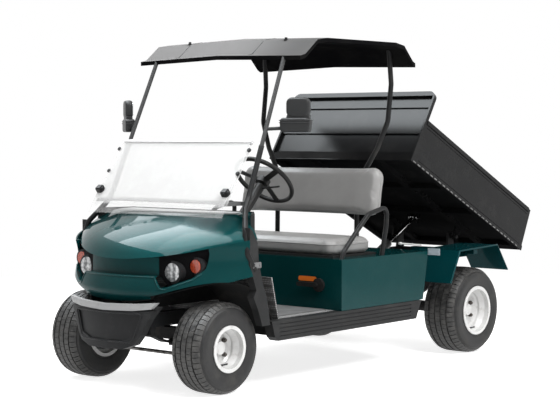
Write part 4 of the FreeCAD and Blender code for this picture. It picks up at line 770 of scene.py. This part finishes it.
def pad_shape(size, corner, crown, pinch):
    """A stuffed block about its own middle: rounded, crowned on top, sides drawn in mid-length."""
    pad = bmesh.new()
    bmesh.ops.create_cube(pad, size=1.0)
    bmesh.ops.scale(pad, vec=size, verts=pad.verts)
    upright = [edge for edge in pad.edges
               if abs((edge.verts[0].co - edge.verts[1].co).normalized().dot(Vector((0, 0, 1)))) > 0.9]
    bmesh.ops.bevel(pad, geom=upright, offset=corner, segments=6, profile=0.5, affect="EDGES")
    rims = [edge for edge in pad.edges if edge.calc_face_angle(0.0) > 1.2]
    bmesh.ops.bevel(pad, geom=rims, offset=min(size) * 0.27, segments=4, profile=0.5, affect="EDGES")
    bmesh.ops.triangulate(pad, faces=[face for face in pad.faces if len(face.verts) > 4])
    bmesh.ops.subdivide_edges(pad, edges=pad.edges[:], cuts=3, use_grid_fill=True)
    half = Vector(size) / 2
    for vert in pad.verts:
        across, along = vert.co.x / half.x, vert.co.y / half.y
        dome = (1 - across ** 4) * (1 - along ** 4)
        if vert.co.z > 0:
            vert.co.z += crown * dome
        vert.co.y -= pinch * along * (1 - across ** 2)
    return pad


def padded_cover(name, node, body, size, corner, crown, pinch, placing, low_cap, cap):
    """A stuffed vinyl cover in the space of one CAD cushion."""
    piece = bpy.data.objects.new(name, shaped(name, pad_shape(size, corner, crown, pinch)))
    bpy.context.scene.collection.objects.link(piece)
    swell(piece, cap)
    points = points_of(piece.data)
    points[:, 2] = np.maximum(points[:, 2], low_cap)
    piece.data.vertices.foreach_set("co", points.ravel())
    smooth = piece.modifiers.new("relaxed", "SMOOTH")
    smooth.iterations = 4
    smooth.factor = 0.5
    finer = piece.modifiers.new("finer", "SUBSURF")
    finer.levels = 1
    finer.render_levels = 1
    bake_modifiers(piece)
    piece.data.transform(placing)
    piece.data.materials.clear()
    piece.data.materials.append(vinyl.material)
    piece.data.shade_smooth()
    piece.data.name = name
    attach(piece, body)
    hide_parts(node)
    return piece


def welt_line(cover, placing, size, corner, level, inset):
    """Points of a closed seam round a cover, pulled onto its surface."""
    tree = BVHTree.FromObject(cover, bpy.context.evaluated_depsgraph_get())
    outline = rounded_rectangle(size[0] / 2 - inset, size[1] / 2 - inset, corner)
    line = [Vector((x, y, level)) for x, y in outline]
    dense = []
    for here, there in zip(line, line[1:] + line[:1]):
        pieces = max(1, int((there - here).length / 0.02))
        dense += [here.lerp(there, k / pieces) for k in range(pieces)]
    return [tree.find_nearest(placing @ point)[0] for point in dense]


def stitches(name, points, spacing, size, finish, body):
    """Short threads laid end to end along a closed line on a cover."""
    line = bpy.data.meshes.new(name + "_line")
    line.from_pydata([tuple(point) for point in points],
                     [(k, (k + 1) % len(points)) for k in range(len(points))], [])
    rule = Pattern(name, Spacing=spacing, Length=size[0], Thick=size[1])
    curve = rule.node("GeometryNodeMeshToCurve", {}, {0: rule.given()})
    even = rule.node("GeometryNodeResampleCurve", {"mode": "LENGTH"},
                     {"Curve": curve, "Length": rule.given("Spacing")})
    spots = rule.node("GeometryNodeCurveToPoints", {"mode": "EVALUATED"}, {"Curve": even})
    spin = Flow(rule, spots.socket.node.outputs["Rotation"])
    sizes = rule.node("ShaderNodeCombineXYZ", {},
                      {0: rule.given("Thick"), 1: rule.given("Thick"), 2: rule.given("Length")})
    thread = rule.node("GeometryNodeMeshIcoSphere", {}, {"Radius": 0.5, "Subdivisions": 1})
    laid = rule.node("GeometryNodeInstanceOnPoints", {},
                     {"Points": spots, "Instance": thread, "Rotation": spin, "Scale": sizes})
    return settle(name, rule.lay(name, line, laid, finish), finish, body, 80)


thread = Finish("seat_thread_grey", (0.12, 0.12, 0.118), 0.7)
thread.feed("Roughness", 0.6 + thread.cloud(300.0) * 0.3)
thread.relief(thread.cells(1500.0), 0.0002, 0.5)

CUSHION_CORNER = 0.055
cushion_low, cushion_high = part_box("seat_cushion")
cushion_size = cushion_high - cushion_low - Vector((0.020, 0.018, 0.014))
cushion_place = Matrix.Translation((cushion_low + cushion_high) / 2)
cushion_foot = -(cushion_high.z - cushion_low.z) / 2 + 0.0006
cushion = padded_cover("seat_cushion_cover", "seat_cushion", "seat_lid", cushion_size, CUSHION_CORNER,
                       0.006, 0.004, cushion_place, cushion_foot, 0.016)
seam = welt_line(cushion, cushion_place, cushion_size, CUSHION_CORNER, cushion_size.z * 0.34, -0.004)
piping("seat_cushion_welt", seam, 0.0032, vinyl, "seat_lid")
row = welt_line(cushion, cushion_place, cushion_size, CUSHION_CORNER, cushion_size.z * 0.5 + 0.004, 0.018)
stitches("seat_cushion_stitches", row, 0.0085, (0.006, 0.0016), thread, "seat_lid")

BACKREST_LEAN = math.radians(10)
BACKREST_H, BACKREST_T = 0.300, 0.074
BACKREST_CORNER = 0.062
back_low, back_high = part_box("backrest")
back_place = (Matrix.Translation(at(0, 1232, 818)) @ Matrix.Rotation(-BACKREST_LEAN, 4, "X")
              @ Matrix.Translation((0, BACKREST_T / 2, BACKREST_H / 2))
              @ Matrix.Rotation(math.pi / 2, 4, "X"))
back_size = Vector((back_high.x - back_low.x - 0.020, BACKREST_H - 0.016, BACKREST_T - 0.014))
backrest = padded_cover("backrest_cover", "backrest", "chassis", back_size, BACKREST_CORNER,
                        0.004, 0.003, back_place, -BACKREST_T / 2 + 0.001, 0.014)
seam = welt_line(backrest, back_place, back_size, BACKREST_CORNER, 0.0, -0.004)
piping("backrest_welt", seam, 0.003, vinyl, "chassis")


# ================================================================ armrests and canopy frame
# Bent steel tube: armrests and rear struts satin black; front struts are a
# black sleeve below and a plain grey tube above, under the moulded roof.
TUBE_BLACK, TUBE_DUST = (0.012, 0.0125, 0.013), (0.045, 0.043, 0.04)
SLEEVE_TOP = 1.222
tube_paint = satin_paint("tube_satin_black", TUBE_BLACK, TUBE_DUST, 0.36)
dress(tube_paint, "armrests")
strut_paint = satin_paint("strut_black_over_grey", TUBE_BLACK, TUBE_DUST, 0.36)
upper = (strut_paint.reach(2) > SLEEVE_TOP) * (strut_paint.reach(1) < at(0, 700, 0).y)
veil = strut_paint.patches(7.0, 0.48, 0.78, 5.0, 0.62)
black_part = strut_paint.tones(veil * 0.5, TUBE_BLACK, TUBE_DUST)
grey_part = strut_paint.tones(veil * 0.6, (0.045, 0.046, 0.047), (0.035, 0.035, 0.034))
strut_paint.feed("Base Color", strut_paint.tones(upper, black_part, grey_part))
dress(strut_paint, "roof_struts")

# The roof is black plastic. Its upward faces are painted light grey as painted light and reflection from
# overhead, and across the roof that grey runs into painted shade towards the cart's left.
roof_plastic = Finish("roof_grey_gloss", (0.4, 0.4, 0.4), 0.25,
                      {"IOR": 1.35, "Specular IOR Level": 0.0, "Coat Roughness": 0.16, "Coat IOR": 1.18})
# Painted light: faces turned up get the grey, and the rest keep the roof's own black.
painted_light_top = roof_plastic.step(roof_plastic.facing_up(), 0.25, 0.45)
bloom = roof_plastic.patches(5.0, 0.42, 0.78, 5.0, 0.6)
light = roof_plastic.tones(bloom * 0.25, (0.21, 0.211, 0.213), (0.16, 0.16, 0.158))
shaded = roof_plastic.tones(bloom * 0.25, (0.095, 0.0955, 0.0965), (0.12, 0.12, 0.118))
# Painted shade: the painted grey darkens towards the cart's left.
light = roof_plastic.tones(roof_plastic.step(roof_plastic.reach(0), -0.05, 0.55), light, shaded)
dark = roof_plastic.tones(bloom * 0.4, (0.005, 0.005, 0.0055), (0.018, 0.018, 0.017))
roof_plastic.look(roof_plastic.tones(painted_light_top, dark, light), 0.3 + bloom * 0.12)
roof_plastic.feed("Coat Weight", painted_light_top * 0.05)
roof_plastic.grain(300.0, 0.0002, 0.35)
dress(roof_plastic, "roof")


def dropped_on(node, x, y):
    """The place on a node's upper face under a point given in the cart's millimetres."""
    return struck(node, at(x, y, 3000.0), (0, 0, -1))


# Two joints run the length of the moulded roof, and thumb screws hold it to the struts.
roof_dark = grained_plastic("roof_joint_black", (0.012, 0.012, 0.0125), (0.04, 0.04, 0.04), 0.5, 700.0)
for hand, x in (("left", 212.0), ("right", -318.0)):
    run = [dropped_on("roof", x, 512.0 + 920.0 * k / 40) for k in range(41)]
    piping("roof_joint_" + hand, run, 0.0016, roof_dark, "chassis", False)
screws = bmesh.new()
SCREW = ((-0.004, 0.011), (0.003, 0.011), (0.004, 0.008), (0.012, 0.007), (0.013, 0.004))
for x, y in ((-330.0, 640.0), (360.0, 640.0), (-345.0, 1380.0), (345.0, 1380.0)):
    turned(screws, SCREW, dropped_on("roof", x, y), (0, 0, 1), 14)
settle("roof_screws", screws, roof_dark, "chassis", 35)


# ================================================================ windshield
# Folding polycarbonate windshield, hazed milky above its cross rail and
# clearer below; black latches and screw knobs hold it down each side.
pane_sheet = Finish("windshield_hazed_pane", (0.93, 0.94, 0.94), 0.35,
                    {"Alpha": 0.4, "Specular IOR Level": 0.2})
scratch = pane_sheet.patches(11.0, 0.4, 0.8, 6.0, 0.65)
pane_sheet.look(pane_sheet.tones(scratch * 0.4, (0.82, 0.825, 0.825), (0.75, 0.755, 0.755)),
                0.28 + scratch * 0.25)
above_rail = pane_sheet.step(pane_sheet.reach(2), 0.905, 0.955)
pane_sheet.feed("Alpha", 0.10 + above_rail * 0.24 + scratch * 0.05)
dress(pane_sheet, "windshield")
rail_paint = satin_paint("rail_grey_paint", (0.26, 0.262, 0.265), (0.18, 0.178, 0.175), 0.35)
rail_wear = rail_paint.patches(24.0, 0.5, 0.8, 4.0, 0.6) * 0.5
rail_low = rail_paint.tones(rail_wear, (0.10, 0.101, 0.103), (0.16, 0.158, 0.155))
rail_high = rail_paint.tones(rail_wear, (0.72, 0.725, 0.73), (0.55, 0.55, 0.548))
rail_paint.feed("Base Color", rail_paint.tones(rail_paint.reach(2) > 1.1, rail_low, rail_high))
dress(rail_paint, "windshield_rail")
knob_plastic = grained_plastic("knob_black_plastic", (0.014, 0.014, 0.0145), (0.05, 0.05, 0.05),
                               0.45, 900.0)


def hand_knob(name, place, along, radius, height):
    """A ribbed screw knob on its washer."""
    knob = bmesh.new()
    outline = ((0.0, 0.7), (0.2, 0.72), (0.22, 1.0), (0.85, 0.96), (1.0, 0.7))
    turned(knob, [(height * up, radius * out) for up, out in outline], place, along, 18)
    settle(name, knob, knob_plastic, "chassis", 32)


PANE_FACE = Vector((0.0, -0.815, 0.579))
LATCH_SPINDLE = ((-0.026, 0.010), (-0.018, 0.012), (0.018, 0.012), (0.026, 0.010))
for hand, out in SIDES:
    hand_knob("pane_knob_upper_" + hand, at(out * 463, 232, 1196), PANE_FACE, 0.011, 0.014)
    hand_knob("pane_knob_lower_" + hand, at(out * 460, 150, 1080), PANE_FACE, 0.011, 0.014)
    latch_place = at(out * 447, 66, 990)
    latch = soft_box((0.040, 0.038, 0.034), 0.005, latch_place, math.radians(35))
    turned(latch, LATCH_SPINDLE, latch_place, (1, 0, 0), 14)
    settle("pane_latch_" + hand, latch, knob_plastic, "chassis", 30)


# ================================================================ mirrors
# Two mirrors on short arms: a rounded moulded shell round the glass, over a
# wider ribbed foot with the pivot inside.
mirror_shell = grained_plastic("mirror_grey_shell", (0.030, 0.031, 0.032), (0.06, 0.06, 0.06), 0.36)
mirror_glass = patchy("mirror_glass_silver", (160.0, 0.62, 0.8, 4.0, 0.6), (0.76, 0.77, 0.78),
                      (0.4, 0.4, 0.39), (0.03, 0.3), None, {"Metallic": 1.0})
MIRROR_PLACE = (602.0, 430.0, 1346.0)
MIRROR_ARM = ((560.0, 420.0, 1312.0), (472.8, 344.8, 1306.0))


def shell_box(mesh, low, high, corner, soften, turn, side):
    """A rounded box in the mirror's own millimetres, turned and set on its side of the cart."""
    box = bmesh.new()
    bmesh.ops.create_cube(box, size=1.0)
    for vert in box.verts:
        vert.co = Vector(a + (b - a) * (t + 0.5) for a, b, t in zip(low, high, vert.co)) / 1000
    corners = [edge for edge in box.edges if abs(edge.verts[0].co.y - edge.verts[1].co.y) > 0.001]
    bmesh.ops.bevel(box, geom=corners, offset=corner, segments=6, affect="EDGES", profile=0.5)
    outline = [edge for edge in box.edges if abs(edge.verts[0].co.y - edge.verts[1].co.y) < 0.0001]
    bmesh.ops.bevel(box, geom=outline, offset=soften, segments=4, affect="EDGES", profile=0.5)
    spin = Matrix.Rotation(math.radians(turn), 3, "Z")
    for vert in box.verts:
        spot = spin @ vert.co * 1000 + Vector(MIRROR_PLACE)
        vert.co = at(side * spot.x, spot.y, spot.z)
    part = bpy.data.meshes.new("shell_box")
    box.to_mesh(part)
    box.free()
    mesh.from_mesh(part)
    bpy.data.meshes.remove(part)


shells = bmesh.new()
glasses = bmesh.new()
for side, turn in ((1, 22.0), (-1, 37.0)):
    shell_box(shells, (-50, -22, 20), (74, 19, 120), 0.030, 0.013, turn, side)
    shell_box(shells, (-82, -26, -56), (76, 26, 17), 0.018, 0.010, turn, side)
    shell_box(shells, (-45, -18, 10), (72, 17, 32), 0.004, 0.003, turn, side)
    for level in (-8.0, 4.0):
        low, high = (-84.5, -28.0, level - 2.2), (78.5, 28.0, level + 2.2)
        shell_box(shells, low, high, 0.0019, 0.0012, turn, side)
    near, far = (at(side * x, y, z) for x, y, z in MIRROR_ARM)
    turned(shells, ((0.0, 0.009), ((far - near).length, 0.009)), near, (far - near).normalized(), 16)
    shell_box(glasses, (-38, 17.5, 32), (62, 21.5, 108), 0.018, 0.0018, turn, side)
settle("mirror_shells", shells, mirror_shell, "chassis", 40, ("mirrors",))
settle("mirror_glasses", glasses, mirror_glass, "chassis", 30)


# ================================================================ fenders and tail lamps
# Folded sheet: the rear fenders in the body's green with their downward faces painted black as painted
# shade, the front wheel-arch liners black, and round-cornered red lamps on the flap behind.
REAR_FROM_Y = at(0, 1500, 0).y
fender_coat, flake, green = flaked("fender_green_liner_black", (0.0006, 0.024, 0.030),
                                   (0.0025, 0.062, 0.066),
                                   {"Metallic": 0.4, "Coat Roughness": 0.03, "Coat IOR": 1.16})
# Painted shade: faces turned down are painted black.
painted_shade_underside = fender_coat.facing_up() < -0.85
green_part = (fender_coat.reach(1) > REAR_FROM_Y) * (1 - painted_shade_underside)
mud = fender_coat.patches(9.0, 0.46, 0.8, 5.0, 0.62)
black = fender_coat.tones(mud * 0.5, (0.012, 0.0125, 0.013), (0.05, 0.047, 0.043))
fender_coat.look(fender_coat.tones(green_part, black, green), 0.52 - green_part * 0.2 + mud * 0.1)
fender_coat.feed("Coat Weight", green_part)
fender_coat.grain(420.0, 0.00012, 0.4)
dress(fender_coat, "fenders")

# A rolled lip stiffens each rear fender's outer edge.
FENDER_EDGE = ((1708.0, 432.0), (1804.0, 612.0), (2204.0, 626.0), (2322.0, 470.0))
FENDER_OUT_X = 690.0
LIP_R = 4.2
for hand, out in SIDES:
    edge = []
    for (y0, z0), (y1, z1) in zip(FENDER_EDGE, FENDER_EDGE[1:]):
        for k in range(12):
            y, z = y0 + (y1 - y0) * k / 12, z0 + (z1 - z0) * k / 12
            edge.append(at(out * (FENDER_OUT_X - LIP_R), y, z - 1.0))
    edge.append(at(out * (FENDER_OUT_X - LIP_R), *FENDER_EDGE[-1]))
    piping("fender_lip_" + hand, edge, LIP_R / 1000, fender_coat, "chassis", False)

# A bright plate joins each fender to the seat box, beside the rod that latches the bed down.
plate_zinc = satin_paint("plate_zinc", (0.34, 0.40, 0.44), (0.2, 0.22, 0.23), 0.3)
rod_steel = satin_paint("latch_rod_steel", (0.55, 0.55, 0.54), (0.25, 0.24, 0.23), 0.3)
PLATE_X = 638.5
for hand, out in SIDES:
    plate = soft_box((0.081, 0.003, 0.038), 0.0, at(out * PLATE_X, 1611.0, 616.0))
    for step in (-28, 28):
        place = at(out * (PLATE_X + step), 1609.5, 616.0)
        turned(plate, ((0.0, 0.005), (0.004, 0.004)), place, (0, -1, 0), 10)
    settle("fender_plate_" + hand, plate, plate_zinc, "chassis", 30)
rod = bmesh.new()
rod_from, rod_to = at(500, 1476, 664), at(500, 1683, 644)
turned(rod, ((0.0, 0.0045), ((rod_to - rod_from).length, 0.0045)), rod_from, rod_to - rod_from, 12)
turned(rod, ((-0.008, 0.007), (0.010, 0.009), (0.014, 0.0045)), rod_from, rod_to - rod_from, 12)
settle("bed_latch_rod", rod, rod_steel, "chassis", 40)
lamp_red = lens("tail_lamp_red", (0.18, 0.004, 0.003), (0.5, 0.012, 0.008), 130.0, 0.0015, 0.12)
dress(lamp_red, "tail_lamps")


# ================================================================ cargo bed
# Folded steel tub in glossy dark powder coat, scraped in patches: tall
# headboard, railed sides and a drop tailgate, raised by an electric lift.
bed_coat = Finish("bed_powder_coat", (0.010, 0.0102, 0.0106), 0.4,
                  {"Specular IOR Level": 0.0, "Coat Roughness": 0.2, "Coat IOR": 1.24})
rub = bed_coat.patches(8.0, 0.46, 0.8, 6.0, 0.62)
scrape = bed_coat.patches(70.0, 0.64, 0.74, 3.0, 0.7)
bare = bed_coat.tones(rub * 0.25 + scrape * 0.15, (0.009, 0.0092, 0.0096), (0.035, 0.034, 0.033))
bed_coat.look(bare, 0.3 + rub * 0.2 + scrape * 0.15)
bed_coat.feed("Coat Weight", bed_coat.step(bed_coat.facing_up(), -0.6, -0.1) * (0.95 - scrape * 0.3))
bed_coat.grain(380.0, 0.00015, 0.45)
dress(bed_coat, "cargo_bed", "tailgate")

# The bed rests tipped: a place in its own level frame, in millimetres, turned about its hinge.
BED_TIP = math.radians(25.83)
BED_HALF_W = 525.0
BED_OPEN_END = 1303.0
BED_RAIL_TOP = 275.0


def on_bed(x, y, z):
    """The resting place of a point given across, behind the headboard and above the bed's underside."""
    hinge_y, hinge_z = 2448.0, 639.0
    back, up = y + 1421.0 - hinge_y, z + 689.0 - hinge_z
    return at(x, hinge_y + back * math.cos(BED_TIP) + up * math.sin(BED_TIP),
              hinge_z - back * math.sin(BED_TIP) + up * math.cos(BED_TIP))


def bed_bar(mesh, side, across, along, up, soften):
    """A softened bar on one side of the bed, between pairs of distances in its level frame."""
    spans = (sorted(side * x for x in across), along, up)
    made = bmesh.ops.create_cube(mesh, size=1.0)["verts"]
    for vert in made:
        vert.co = on_bed(*(a + (b - a) * (t + 0.5) for (a, b), t in zip(spans, vert.co)))
    edges = {edge for vert in made for edge in vert.link_edges}
    bmesh.ops.bevel(mesh, geom=list(edges), offset=soften, segments=2, affect="EDGES")


# A folded cap runs along each side's top, with a pressed bead below it and one at the foot.
caps = bmesh.new()
for side in (-1, 1):
    bed_bar(caps, side, (BED_HALF_W - 4.0, BED_HALF_W + 5.0), (50.0, BED_OPEN_END - 2.0),
            (BED_RAIL_TOP - 27.0, BED_RAIL_TOP + 1.5), 0.003)
    for bead in ((BED_RAIL_TOP - 44.0, BED_RAIL_TOP - 38.0), (26.0, 31.0)):
        bed_bar(caps, side, (BED_HALF_W - 3.0, BED_HALF_W + 2.4), (62.0, BED_OPEN_END - 14.0), bead, 0.002)
settle("bed_side_caps", caps, bed_coat, "bed", 30)

# Bright spot-welded tabs fasten each side to the sill below it.
TABS, TAB_PITCH, TAB_LONG = 27, 47.0, 27.0
tab_steel = satin_paint("bed_tab_steel", (0.17, 0.17, 0.168), (0.07, 0.068, 0.065), 0.4)
for hand, side in SIDES:
    tab = bmesh.new()
    bed_bar(tab, side, (BED_HALF_W - 2.0, BED_HALF_W + 2.0), (22.0, 22.0 + TAB_LONG), (2.0, 10.0), 0.0012)
    stride = on_bed(0, TAB_PITCH, 0) - on_bed(0, 0, 0)
    name = "bed_sill_tabs_" + hand
    tabs = row_of(name, shaped("tab", tab), TABS, stride, tab_steel)
    settle(name, tabs, tab_steel, "bed", 30)

# The lift's grey barrel and its chromed rod, with a film of grease on the chrome.
cylinder_paint = satin_paint("lift_cylinder_grey", (0.10, 0.102, 0.105), (0.06, 0.055, 0.05), 0.4)
dress(cylinder_paint, "lift_barrel")
chrome = patchy("lift_rod_chrome", (60.0, 0.4, 0.75), (0.64, 0.65, 0.66), (0.42, 0.40, 0.37), (0.08, 0.2),
                None, {"Metallic": 1.0})
dress(chrome, "lift_rod")


# ================================================================ studio
# White floor that runs into white surroundings, two softboxes and two weak
# fills, two strips that only gloss shows, and the camera off the left corner.
FLOOR_GLOW = 0.80
FADE_FROM, FADE_TO = 2.2, 5.5


def seen_rays(nodes):
    """1 for the rays that show a thing itself: from the camera, off gloss and through glass."""
    camera, gloss, through = (nodes.node("ShaderNodeLightPath", out="Is " + kind + " Ray")
                              for kind in ("Camera", "Glossy", "Transmission"))
    return nodes.math("MAXIMUM", nodes.math("MAXIMUM", camera, gloss), through)


floor_mesh = bpy.data.meshes.new("studio_floor")
floor_mesh.from_pydata([(-60, -60, 0), (60, -60, 0), (60, 60, 0), (-60, 60, 0)], [], [(0, 1, 2, 3)])
floor = bpy.data.objects.new("studio_floor", floor_mesh)
bpy.context.scene.collection.objects.link(floor)
white = Finish("studio_floor_white", (0.85, 0.85, 0.85), 0.9, {"Specular IOR Level": 0.0})
near_glow = white.node("ShaderNodeEmission", {}, {"Strength": seen_rays(white) * FLOOR_GLOW})
near = white.node("ShaderNodeAddShader", {}, {0: Flow(white, white.shader.outputs[0]), 1: near_glow})
away = white.node("ShaderNodeVectorMath", {"operation": "LENGTH"}, {0: white.place()}, "Value")
fade = white.node("ShaderNodeMapRange", {}, {"Value": away, "From Min": FADE_FROM, "From Max": FADE_TO})
surface = white.node("ShaderNodeMixShader", {},
                     {0: fade * seen_rays(white), 1: near, 2: white.node("ShaderNodeEmission")})
white.tree.links.new(surface.socket, white.tree.nodes["Material Output"].inputs["Surface"])
floor_mesh.materials.append(white.material)

world = bpy.data.worlds.new("studio_white")
bpy.context.scene.world = world
world.use_nodes = True
sky = Nodes(world.node_tree)
dim = sky.tree.nodes["Background"]
dim.inputs["Color"].default_value = (1.0, 0.985, 0.965, 1.0)
dim.inputs["Strength"].default_value = 0.30
bright = sky.node("ShaderNodeBackground", {}, {"Color": (1.0, 1.0, 1.0, 1.0), "Strength": 1.0})
shown = sky.node("ShaderNodeMixShader", {}, {0: seen_rays(sky), 1: Flow(sky, dim.outputs[0]), 2: bright})
sky.tree.links.new(shown.socket, sky.tree.nodes["World Output"].inputs["Surface"])


def softbox(name, place, aim, size, power, colour=(1.0, 1.0, 1.0)):
    """A square lamp turned to face a point."""
    lamp = bpy.data.lights.new(name, "AREA")
    lamp.shape = "RECTANGLE"
    lamp.size, lamp.size_y = size
    lamp.energy = power
    lamp.color = colour
    holder = bpy.data.objects.new(name, lamp)
    holder.location = place
    holder.rotation_euler = (Vector(aim) - Vector(place)).to_track_quat("-Z", "Y").to_euler()
    bpy.context.scene.collection.objects.link(holder)
    return holder


target = (0.0, 0.0, 0.8)
softbox("overhead_softbox", (0.3, -1.0, 8.5), target, (8.0, 6.0), 640.0)
softbox("left_softbox", (5.4, -1.0, 6.0), target, (3.6, 3.0), 560.0)
# The two fills lighten the right side and show in no gloss.
for name, place, size, power in (("front_right_softbox", (-4.1, -3.2, 5.2), (3.4, 2.6), 70.0),
                                 ("rear_right_softbox", (-4.6, 5.0, 3.8), (3.0, 2.4), 80.0)):
    fill = softbox(name, place, (0.0, 0.4, 1.4), size, power)
    fill.visible_glossy = False
# Two long strips overhead show only in the gloss: a bright one over the nose and a dim one behind it.
for name, x, y, long, power in (("gloss_strip_near", -1.75, -2.1, 7.6, 1050.0),
                                ("gloss_strip_far", -6.1, 1.6, 3.8, 150.0)):
    strip = softbox(name, (x, y, 5.8), (x, y, 0.0), (long, 3.4), power, (0.90, 0.96, 1.0))
    strip.rotation_euler = (0.0, 0.0, math.radians(-40.5))
    strip.visible_diffuse = False

lens_data = bpy.data.cameras.new("camera")
lens_data.sensor_width = 36.0
lens_data.lens = 98.3
camera = bpy.data.objects.new("camera", lens_data)
camera.location = at(5503.5, -5545.8, 1290.0)
camera.rotation_euler = (math.radians(87.089), 0.0, math.radians(39.969))
bpy.context.scene.collection.objects.link(camera)
bpy.context.scene.camera = camera
bpy.context.scene.view_settings.view_transform = "Standard"
